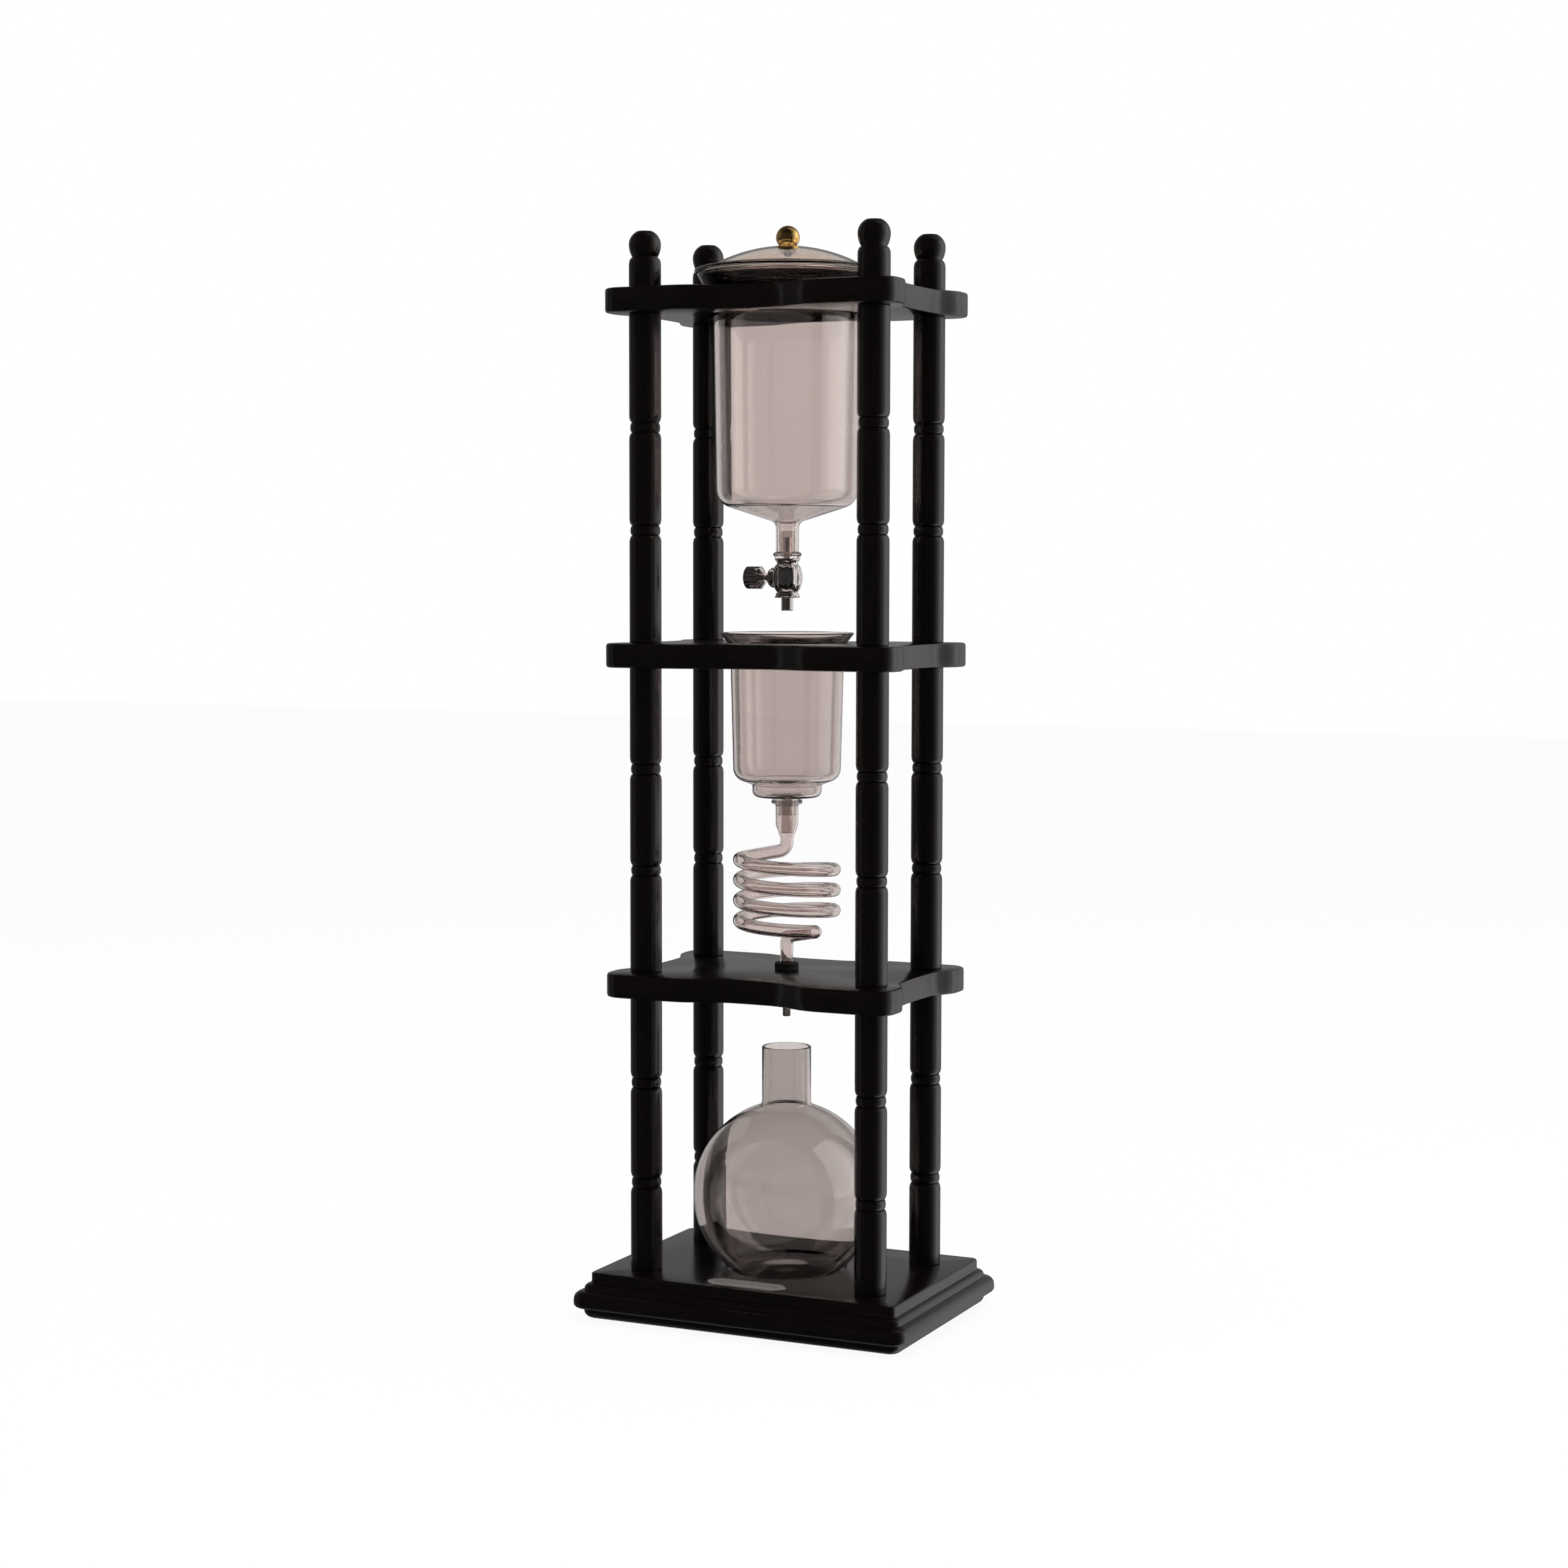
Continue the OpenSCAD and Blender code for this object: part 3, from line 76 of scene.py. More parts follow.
def add_camera():
    """The scene's camera, from the fitted angles, distance and height."""
    forward = Vector((
        -math.sin(CAMERA_YAW) * math.cos(CAMERA_PITCH),
        math.cos(CAMERA_YAW) * math.cos(CAMERA_PITCH),
        -math.sin(CAMERA_PITCH),
    ))
    level = Vector((math.cos(CAMERA_YAW), math.sin(CAMERA_YAW), 0))
    upright = level.cross(forward)
    right = math.cos(CAMERA_ROLL) * level + math.sin(CAMERA_ROLL) * upright
    up = math.cos(CAMERA_ROLL) * upright - math.sin(CAMERA_ROLL) * level
    place = Vector((
        math.sin(CAMERA_YAW) * CAMERA_DISTANCE,
        -math.cos(CAMERA_YAW) * CAMERA_DISTANCE,
        CAMERA_HEIGHT,
    )) + CAMERA_SIDEWAYS * level
    data = bpy.data.cameras.new("camera")
    data.sensor_width = SENSOR_MM
    data.lens = SENSOR_MM * FOCAL_PX / PHOTO_PX
    camera = bpy.data.objects.new("camera", data)
    turn = Matrix((right, up, -forward)).transposed().to_4x4()
    camera.matrix_world = Matrix.Translation(place * MM) @ turn
    bpy.context.scene.collection.objects.link(camera)
    bpy.context.scene.camera = camera


# Shader helpers

# Stretch of a noise that is alike along all axes
EVEN = (1, 1, 1)

# The middle of a noise's range, over which a ramp goes from dark to light
RAMP_ENDS = (0.35, 0.65)


def new_material(name):
    """A material with its node tree and its Principled shader."""
    material = bpy.data.materials.new(name)
    material.use_nodes = True
    tree = material.node_tree
    return material, tree, tree.nodes["Principled BSDF"]


def set_inputs(node, **values):
    """Sets sockets by name, with underscores for spaces."""
    for name, value in values.items():
        node.inputs[name.replace("_", " ")].default_value = value


def noise(tree, stretch, scale, detail, rough=0.5):
    """Noise on object coordinates, stretched along the axes, with its scale per metre."""
    coordinates = tree.nodes.new("ShaderNodeTexCoord")
    mapping = tree.nodes.new("ShaderNodeMapping")
    mapping.inputs["Scale"].default_value = stretch
    texture = tree.nodes.new("ShaderNodeTexNoise")
    set_inputs(texture, Scale=scale, Detail=detail, Roughness=rough)
    tree.links.new(coordinates.outputs["Object"], mapping.inputs["Vector"])
    tree.links.new(mapping.outputs["Vector"], texture.inputs["Vector"])
    return texture.outputs["Fac"]


def ramp(tree, source, dark, light):
    """A ramp from a dark to a light colour over the middle of a noise's range."""
    node = tree.nodes.new("ShaderNodeValToRGB")
    for stop, place, colour in zip(node.color_ramp.elements, RAMP_ENDS, (dark, light)):
        stop.position = place
        stop.color = (*colour, 1)
    tree.links.new(source, node.inputs["Fac"])
    return node.outputs["Color"]


def table_ramp(tree, source, table, interpolation="LINEAR"):
    """A grey ramp from a table of (place, brightness)."""
    node = tree.nodes.new("ShaderNodeValToRGB")
    node.color_ramp.interpolation = interpolation
    stops = node.color_ramp.elements
    stops.remove(stops[1])
    for i, (place, value) in enumerate(table):
        stop = stops.new(place) if i else stops[0]
        stop.position = place
        stop.color = (value, value, value, 1)
    tree.links.new(source, node.inputs["Fac"])
    return node.outputs["Color"]


def map_range(tree, source, before, after, interpolation="LINEAR"):
    """Maps a value from the range before to the range after."""
    node = tree.nodes.new("ShaderNodeMapRange")
    node.interpolation_type = interpolation
    set_inputs(node, From_Min=before[0], From_Max=before[1], To_Min=after[0], To_Max=after[1])
    tree.links.new(source, node.inputs["Value"])
    return node.outputs["Result"]


def calculate(tree, operation, *values):
    """A math node on sockets and numbers."""
    node = tree.nodes.new("ShaderNodeMath")
    node.operation = operation
    for i, value in enumerate(values):
        if isinstance(value, (int, float)):
            node.inputs[i].default_value = value
        else:
            tree.links.new(value, node.inputs[i])
    return node.outputs[0]


def mixed_shader(tree, share, first, second):
    """The first shader where the share is 0 and the second where it is 1."""
    node = tree.nodes.new("ShaderNodeMixShader")
    for i, source in enumerate((share, first, second)):
        tree.links.new(source, node.inputs[i])
    return node.outputs[0]


def set_surface(tree, shader, colour, roughness):
    """Links a colour to a shader, and a roughness that runs from low to high with a noise."""
    source, low, high = roughness
    tree.links.new(colour, shader.inputs["Base Color"])
    tree.links.new(map_range(tree, source, (0, 1), (low, high)), shader.inputs["Roughness"])


def bump(tree, shader, source, strength, depth):
    """Relief from a noise, with its depth in millimetres."""
    node = tree.nodes.new("ShaderNodeBump")
    set_inputs(node, Strength=strength, Distance=depth * MM)
    tree.links.new(source, node.inputs["Height"])
    tree.links.new(node.outputs["Normal"], shader.inputs["Normal"])


# Materials

GLASS_IOR = 1.47
GLASS_WAVES = (1, 1, 0.35)
SILICONE_IOR = 1.41

# How much darker than its tint a glass gets between its waves
TINT_SPREAD = 0.985

# Tone of a dark band, and its share by the place between the band's lower and upper height
BAND_TONE = (0.020, 0.017, 0.017)
BAND_SHARE = ((0, 0), (0.1, 1), (0.85, 1), (1, 0))


def black_wood(name, stretch):
    """Black stained and lacquered wood, with its fine grain along one axis."""
    material, tree, shader = new_material(name)
    grain = noise(tree, stretch, scale=900, detail=4, rough=0.6)
    cloud = noise(tree, EVEN, scale=18, detail=2)
    colour = ramp(tree, grain, (0.0014, 0.0008, 0.0006), (0.0034, 0.0021, 0.0018))
    set_surface(tree, shader, colour, (cloud, 0.15, 0.26))
    set_inputs(shader, Specular_IOR_Level=0.5)
    bump(tree, shader, grain, strength=0.12, depth=0.12)
    return material


def dark_band(tree, colour, low, high):
    """Darkens a colour between two heights, in millimetres."""
    coordinates = tree.nodes.new("ShaderNodeTexCoord")
    parts = tree.nodes.new("ShaderNodeSeparateXYZ")
    tree.links.new(coordinates.outputs["Object"], parts.inputs[0])
    height = map_range(tree, parts.outputs["Z"], (low * MM, high * MM), (0, 1))
    mix = tree.nodes.new("ShaderNodeMixRGB")
    mix.inputs["Color2"].default_value = (*BAND_TONE, 1)
    tree.links.new(table_ramp(tree, height, BAND_SHARE), mix.inputs["Fac"])
    tree.links.new(colour, mix.inputs["Color1"])
    return mix.outputs["Color"]


def clear_glass(name, tint, density, waves=0.10, band=None):
    """Blown glass: a faint warm tone, slow waves in its surface, and a grey that deepens where
    the light's way through the wall is long, as it is at the edges of a vessel."""
    material, tree, shader = new_material(name)
    wave = noise(tree, GLASS_WAVES, scale=14, detail=1.5)
    colour = ramp(tree, wave, [TINT_SPREAD * c for c in tint], tint)
    if band:
        colour = dark_band(tree, colour, *band)
    tree.links.new(colour, shader.inputs["Base Color"])
    set_inputs(shader, Transmission_Weight=1.0, IOR=GLASS_IOR, Roughness=0.0)
    bump(tree, shader, wave, strength=waves, depth=0.8)
    grey = tree.nodes.new("ShaderNodeVolumeAbsorption")
    set_inputs(grey, Color=(0, 0, 0, 1), Density=density)
    tree.links.new(grey.outputs["Volume"], tree.nodes["Material Output"].inputs["Volume"])
    return material


def polished_metal(name, dark, light, roughness):
    """Plated metal with a faint cloud of handling marks in its gloss."""
    material, tree, shader = new_material(name)
    marks = noise(tree, EVEN, scale=160, detail=4, rough=0.65)
    set_surface(tree, shader, ramp(tree, marks, dark, light), (marks, *roughness))
    set_inputs(shader, Metallic=1.0)
    return material


def brushed_metal(name, dark, light, stretch, metallic=1.0):
    """Metal with fine brush lines across one axis."""
    material, tree, shader = new_material(name)
    lines = noise(tree, stretch, scale=1500, detail=2, rough=0.7)
    set_surface(tree, shader, ramp(tree, lines, dark, light), (lines, 0.28, 0.42))
    set_inputs(shader, Metallic=metallic)
    bump(tree, shader, lines, strength=0.15, depth=0.05)
    return material


def soft_rubber(name, dark, light, roughness):
    """Dull rubber with a fine grit."""
    material, tree, shader = new_material(name)
    grit = noise(tree, EVEN, scale=700, detail=3, rough=0.6)
    tree.links.new(ramp(tree, grit, dark, light), shader.inputs["Base Color"])
    set_inputs(shader, Roughness=roughness, Specular_IOR_Level=0.3)
    bump(tree, shader, grit, strength=0.2, depth=0.1)
    return material


def clear_silicone(name, dark, light):
    """Milky clear silicone, part of whose light passes through it."""
    material, tree, shader = new_material(name)
    haze = noise(tree, EVEN, scale=220, detail=2)
    tree.links.new(ramp(tree, haze, dark, light), shader.inputs["Base Color"])
    set_inputs(shader, Transmission_Weight=0.94, IOR=SILICONE_IOR, Roughness=0.14)
    return material


# Stretch of the grain and of the brush lines, small along their length
ALONG_X = (0.04, 1, 1)
ALONG_Z = (1, 1, 0.04)
BRUSHED_X = (0.02, 1, 1)
BRUSHED_Z = (1, 1, 0.05)

# The stretch under the lid's brim, by its depth under the water vessel's top
BAND_DEPTHS = (13.5, 1.2)
water_band = [top_of("water_vessel") - depth for depth in BAND_DEPTHS]

wood_upright = black_wood("black_wood_upright", ALONG_Z)
wood_flat = black_wood("black_wood_flat", ALONG_X)
water_glass = clear_glass("water_vessel_glass", (0.745, 0.676, 0.652), density=20, band=water_band)
coffee_glass = clear_glass("coffee_vessel_glass", (0.722, 0.652, 0.630), density=22)
flask_glass = clear_glass("flask_glass", (0.672, 0.620, 0.602), density=40, waves=0.45)
spiral_glass = clear_glass("spiral_glass", (0.790, 0.718, 0.696), density=22)
lid_glass = clear_glass("lid_glass", (0.900, 0.800, 0.730), density=12)
chrome = polished_metal("chrome", (0.74, 0.70, 0.69), (0.82, 0.78, 0.77), roughness=(0.03, 0.08))
gold = polished_metal("polished_gold_tone", (0.78, 0.50, 0.17), (0.86, 0.58, 0.22),
                      roughness=(0.05, 0.12))
plate_metal = brushed_metal("plate_metal", (0.30, 0.285, 0.28), (0.36, 0.34, 0.335), BRUSHED_X,
                            metallic=0.5)
plain_steel = brushed_metal("plain_steel", (0.36, 0.35, 0.34), (0.48, 0.47, 0.46), BRUSHED_Z)
rubber = soft_rubber("black_rubber", (0.006, 0.006, 0.006), (0.014, 0.013, 0.013), roughness=0.6)
silicone = clear_silicone("clear_silicone", (0.80, 0.76, 0.74), (0.86, 0.82, 0.80))


# Mesh helpers

LATHE_SIDES = 160
ON_AXIS = 1e-6


def oval(cx, cz, rx, rz, start, end, steps):
    """Points (x, z) along an arc of an ellipse, angles in degrees."""
    angles = [math.radians(start + (end - start) * i / steps) for i in range(steps + 1)]
    return [(cx + rx * math.cos(a), cz + rz * math.sin(a)) for a in angles]


def arc(cx, cz, r, start, end, steps):
    """Points (x, z) along an arc of a circle, angles in degrees."""
    return oval(cx, cz, r, r, start, end, steps)


def add_piece(name, points, faces, body, material, replaced=(), sharp=40):
    """A smooth shaded mesh from points in millimetres, which rides on a body."""
    mesh = bpy.data.meshes.new(name)
    mesh.from_pydata([Vector(p) * MM for p in points], [], faces)
    mesh.validate()
    mesh.polygons.foreach_set("use_smooth", [True] * len(mesh.polygons))
    mesh.set_sharp_from_angle(angle=math.radians(sharp))
    mesh.materials.append(material)
    piece = bpy.data.objects.new(name, mesh)
    bpy.context.scene.collection.objects.link(piece)
    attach(piece, body)
    if replaced:
        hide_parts(*replaced)
    return piece


def ease_edges(piece, width, angle):
    """Rounds the edges that turn by more than an angle, with a width in millimetres."""
    ease = piece.modifiers.new("ease", "BEVEL")
    ease.width = width * MM
    ease.segments = 2
    ease.limit_method = "ANGLE"
    ease.angle_limit = math.radians(angle)


def ring_faces(first, second, count):
    """Quads between two rings of points that start at these indices."""
    return [
        (first + k, first + (k + 1) % count, second + (k + 1) % count, second + k)
        for k in range(count)
    ]


def turned(profile, closed):
    """Points and faces of a profile of (radius, height) turned about the axis. A closed profile
    runs outside downwards and inside upwards, and an open one starts and ends on the axis."""
    points, faces, rings = [], [], []
    for radius, z in profile:
        is_ring = radius > ON_AXIS
        rings.append((len(points), is_ring))
        for k in range(LATHE_SIDES if is_ring else 1):
            a = 2 * math.pi * k / LATHE_SIDES
            points.append((radius * math.cos(a), radius * math.sin(a), z))
    pairs = list(zip(rings, rings[1:]))
    if closed:
        pairs.append((rings[-1], rings[0]))
    for (one, one_is_ring), (two, two_is_ring) in pairs:
        if one_is_ring and two_is_ring:
            faces += ring_faces(two, one, LATHE_SIDES)
        elif one_is_ring or two_is_ring:
            tip, ring = (one, two) if two_is_ring else (two, one)
            for k in range(LATHE_SIDES):
                pair = (ring + k, ring + (k + 1) % LATHE_SIDES)
                faces.append((tip, *(pair[::-1] if two_is_ring else pair)))
    return points, faces


# Glass vessels, drawn as in the CAD source with finer arcs

ROUND_STEPS = 14
BEND_STEPS = 8
SHOULDER_STEPS = 16
FILLET_STEPS = 12

# How far the extra points of a long straight are from its ends
RING_INSET = 2.5


def shoulder_fall(body_r, round_r, turn, neck_r, fillet_r):
    """Height between the centre of a shoulder's arc and that of the fillet at the neck."""
    a = math.radians(turn)
    span = neck_r + fillet_r - body_r + round_r
    return (round_r + fillet_r - span * math.cos(a)) / math.sin(a)


def shoulder(body_r, z, round_r, turn, neck_r, fillet_r, off):
    """Side of a vessel from its body through a shoulder and a funnel into its neck, at an
    offset into the glass."""
    fall = shoulder_fall(body_r, round_r, turn, neck_r, fillet_r)
    upper = arc(body_r - round_r, z, round_r - off, 0, -turn, SHOULDER_STEPS)
    lower = arc(neck_r + fillet_r, z - fall, fillet_r + off, 180 - turn, 180, FILLET_STEPS)
    return upper + lower


def lip(lip_r, top_z, round_r):
    """The rounded lip, from the inside over the top to the outside."""
    return arc(lip_r - round_r, top_z - round_r, round_r, 150, 0, ROUND_STEPS)


def joined(upper, lower):
    """Two parts of a profile with points just inside the ends of the straight between them, which
    keep the shading of a long straight even."""
    (x0, z0), (x1, z1) = upper[-1], lower[0]
    near = RING_INSET / abs(z1 - z0)
    straight = [(x0 + (x1 - x0) * s, z0 + (z1 - z0) * s) for s in (near, 1 - near)]
    return upper + straight + lower


def water_vessel():
    body_r, foot_r, lip_r, neck_r, wall = 54.5, 52.4, 66.4, 8.6, 2.5
    flare, lip_round, lip_rise, straight = 0.571, 1.3, 12.7, 135.6
    shoulder_r, funnel_turn, fillet_r = 14, 72, 5
    bead_r, bead_out, bead_h, chamfer = 1.4, 10.6, 3.4, 0.4
    outer_bend_r, outer_bend_fall = 6, 3.2
    inner_bend_r, inner_bend_fall = 5, 2.7
    top_z, end_z = top_of("water_vessel"), bottom_of("water_vessel")
    shelf_z = top_z - lip_rise
    seat_r = lip_r - flare * (lip_rise - lip_round)
    flare_z = shelf_z - (seat_r - body_r) / flare
    slant = wall * math.sqrt(1 + flare * flare)
    inner_flare_z = flare_z + (slant - wall) / flare
    side = (foot_r, flare_z - straight, shoulder_r, funnel_turn, neck_r, fillet_r)
    outer_bend = arc(body_r + outer_bend_r, flare_z - outer_bend_fall, outer_bend_r,
                     150, 180, BEND_STEPS)
    inner_bend = arc(body_r - wall + inner_bend_r, inner_flare_z - inner_bend_fall, inner_bend_r,
                     180, 150, BEND_STEPS)
    outer = joined(outer_bend, shoulder(*side, 0))
    inner = joined(shoulder(*side, wall)[::-1], inner_bend)
    profile = (
        joined(lip(lip_r, top_z, lip_round), outer)
        + [(neck_r, end_z + bead_h)]
        + arc(bead_out - bead_r, end_z + bead_r, bead_r, 90, -90, ROUND_STEPS)
        + [(neck_r - wall + chamfer, end_z), (neck_r - wall, end_z + chamfer)]
        + inner
    )
    points, faces = turned(profile, closed=True)
    add_piece("water_vessel_glass", points, faces, "water_vessel", water_glass,
              ["water_vessel"])


def coffee_vessel():
    body_r, foot_r, lip_r, cup_r, wall = 42.3, 40, 49.5, 25.8, 2.4
    flare, lip_round, lip_rise, height = 0.776, 0.9, 7.6, 122.2
    shoulder_r, funnel_turn, fillet_r, cup_h = 10, 70, 2.5, 7.7
    stub_r, stub_bore_r, stub_fillet, chamfer = 4.3, 2.6, 0.8, 0.4
    corner_r, corner_steps, inner_corner_steps, bend_r = 5, 12, 10, 3
    top_z, end_z = top_of("coffee_vessel"), bottom_of("coffee_vessel")
    bottom_z = top_z - height
    seat_r = lip_r - flare * (lip_rise - lip_round)
    flare_z = top_z - lip_rise - (seat_r - body_r) / flare
    lean = math.atan(flare)
    tilt = 180 - math.degrees(lean)
    bend = (body_r + bend_r, flare_z - bend_r * math.tan(lean / 2))
    fall = shoulder_fall(foot_r, shoulder_r, funnel_turn, cup_r, fillet_r)
    side = (foot_r, bottom_z + cup_h + fall, shoulder_r, funnel_turn, cup_r, fillet_r)
    corner = (cup_r - corner_r, bottom_z + corner_r)
    outer = joined(arc(*bend, bend_r, tilt, 180, BEND_STEPS), shoulder(*side, 0))
    inner = joined(shoulder(*side, wall)[::-1], arc(*bend, bend_r + wall, 180, tilt, BEND_STEPS))
    profile = (
        lip(lip_r, top_z, lip_round)
        + outer
        + arc(*corner, corner_r, 0, -90, corner_steps)
        + [(stub_r + stub_fillet, bottom_z), (stub_r, bottom_z - stub_fillet)]
        + [(stub_r, end_z + chamfer), (stub_r - chamfer, end_z), (stub_bore_r, end_z)]
        + [(stub_bore_r, bottom_z + wall - stub_fillet)]
        + [(stub_bore_r + stub_fillet, bottom_z + wall)]
        + arc(*corner, corner_r - wall, -90, 0, inner_corner_steps)
        + inner
    )
    points, faces = turned(profile, closed=True)
    add_piece("coffee_vessel_glass", points, faces, "coffee_vessel", coffee_glass,
              ["coffee_vessel"])


FLASK_NECK_R = 18.4


def flask_side(off):
    """Outer face of the flask, or its inner face, from the foot up to the straight neck."""
    ball_r, ball_z, foot_r, fillet = 69.6, 57.949, 8, 4
    foot_steps, ball_steps, ball_gap = 10, 56, 2
    foot_x = math.sqrt((ball_r - foot_r) ** 2 - (ball_z - foot_r) ** 2)
    foot_a = math.degrees(math.atan2(foot_r - ball_z, foot_x))
    neck_x = FLASK_NECK_R + fillet
    neck_z = math.sqrt((ball_r + fillet) ** 2 - neck_x ** 2)
    neck_a = math.degrees(math.atan2(neck_z, neck_x))
    return (
        arc(foot_x, foot_r, foot_r - off, -90, foot_a, foot_steps)
        + arc(0, ball_z, ball_r - off, foot_a + ball_gap, neck_a - ball_gap, ball_steps)
        + arc(neck_x, ball_z + neck_z, fillet + off, 180 + neck_a, 180, FILLET_STEPS)
    )


def flask():
    wall, height, lift = 2, 169.5, 0.08
    kick_r, kick_h, kick_steps = 24, 1.1, 12
    floor_z = bottom_of("flask")
    kick = [
        (kick_r * i / kick_steps, kick_h * (1 + math.cos(math.pi * i / kick_steps)) / 2)
        for i in range(1, kick_steps + 1)
    ]
    profile = (
        [(0, lift + kick_h)]
        + [(x, lift + z) for x, z in kick]
        + [(x, max(z, lift)) for x, z in flask_side(0)]
        + arc(FLASK_NECK_R - wall / 2, height - wall / 2, wall / 2, 0, 180, ROUND_STEPS)
        + flask_side(wall)[::-1]
        + [(x, wall + z) for x, z in kick[::-1]]
        + [(0, wall + kick_h)]
    )
    points, faces = turned([(x, z + floor_z) for x, z in profile], closed=False)
    # The profile runs upwards outside, so its faces are turned over
    faces = [face[::-1] for face in faces]
    add_piece("flask_glass", points, faces, "flask", flask_glass, ["flask"])


def lid():
    lid_r, dome_foot_r, rise, thick = 68.7, 57, 15, 2.5
    edge_r, brim_t, ring_r, hole_r = 1.25, 3, 0.9, 2.1
    locator_out, locator_w, locator_h, locator_round = 61.3, 2.5, 3, 0.6
    inner_fall, round_steps = 1.5, 5
    outer_steps, inner_steps = 40, 36
    under_z = bottom_of("lid") + locator_h
    top_z = under_z + brim_t
    apex_z = top_z + edge_r + rise
    dome_r = (dome_foot_r ** 2 + rise ** 2) / (2 * rise)

    def dome(x, off):
        return apex_z - dome_r + math.sqrt((dome_r - off) ** 2 - x * x)

    step = (lid_r - edge_r - dome_foot_r) / 4
    ring_w, second_ring = step * 0.6, 2.6 * step
    inside = locator_out - locator_w
    foot_z = under_z - locator_h + locator_round
    outer_way = dome_foot_r - hole_r
    inner_way = hole_r - inside + thick
    outer = [hole_r + outer_way * i / outer_steps for i in range(outer_steps + 1)]
    inner = [inside - thick + inner_way * i / inner_steps for i in range(inner_steps + 1)]
    profile = (
        [(x, dome(x, 0)) for x in outer]
        + [(dome_foot_r + step * 0.2, top_z + ring_r * 0.6)]
        + oval(dome_foot_r + step, top_z, ring_w, ring_r, 180, 0, ROUND_STEPS)
        + oval(dome_foot_r + second_ring, top_z - ring_r / 2, ring_w, ring_r, 160, 0, ROUND_STEPS)
        + arc(lid_r - edge_r, under_z + edge_r, edge_r, 60, -90, ROUND_STEPS)
        + [(locator_out + locator_round, under_z), (locator_out, under_z - locator_round)]
        + arc(locator_out - locator_round, foot_z, locator_round, 0, -90, round_steps)
        + arc(inside + locator_round, foot_z, locator_round, -90, -180, round_steps)
        + [(inside, dome(inside - thick, thick) - inner_fall)]
        + [(x, dome(x, thick)) for x in inner]
    )
    points, faces = turned(profile, closed=True)
    add_piece("lid_glass", points, faces, "lid", lid_glass, ["lid"])


# Glass spiral: one tube from the rimmed socket to the drip tip

TUBE_R = 5
BORE_R = 3.5
TUBE_SIDES = 36
COIL_STEPS = 96


def lead_in(coil_r, bend_r, slope, pitch_slope):
    """Down the axis, round a bend, out along +X and round a level bend into the turns. Gives the
    points, the height of the first point over the last, and the angle where the turns begin."""
    bend_steps, run_steps, level_steps = 14, 5, 18
    turn = math.degrees(math.asin(bend_r / (coil_r - bend_r)))
    run_end = (coil_r - bend_r) * math.cos(math.radians(turn))
    tilt = math.radians(slope)
    run_start = bend_r * (1 - math.sin(tilt))
    run_l = run_end - run_start
    fillet_l = bend_r * math.radians(90 + turn)
    height = (bend_r * math.cos(tilt) + run_l * math.tan(tilt)
              + fillet_l * (math.tan(tilt) + pitch_slope) / 2)
    points = []
    for i in range(bend_steps + 1):
        a = math.radians((90 - slope) * i / bend_steps)
        points.append((bend_r * (1 - math.cos(a)), 0, height - bend_r * math.sin(a)))
    for i in range(1, run_steps):
        along = run_l * i / run_steps
        z = height - bend_r * math.cos(tilt) - along * math.tan(tilt)
        points.append((run_start + along, 0, z))
    for i in range(level_steps + 1):
        left = 1 - i / level_steps
        a = math.radians((90 + turn) * (1 - left))
        z = fillet_l * left * (pitch_slope + (math.tan(tilt) - pitch_slope) * left / 2)
        points.append((run_end + bend_r * math.sin(a), bend_r - bend_r * math.cos(a), z))
    return points, height, turn


def placed(points, angle, side, z):
    """Points turned about the axis, mirrored where side is -1, and raised."""
    c, s = math.cos(math.radians(angle)), math.sin(math.radians(angle))
    return [
        (x * c - side * y * s, x * s + side * y * c, z + side * h) for x, y, h in points
    ]


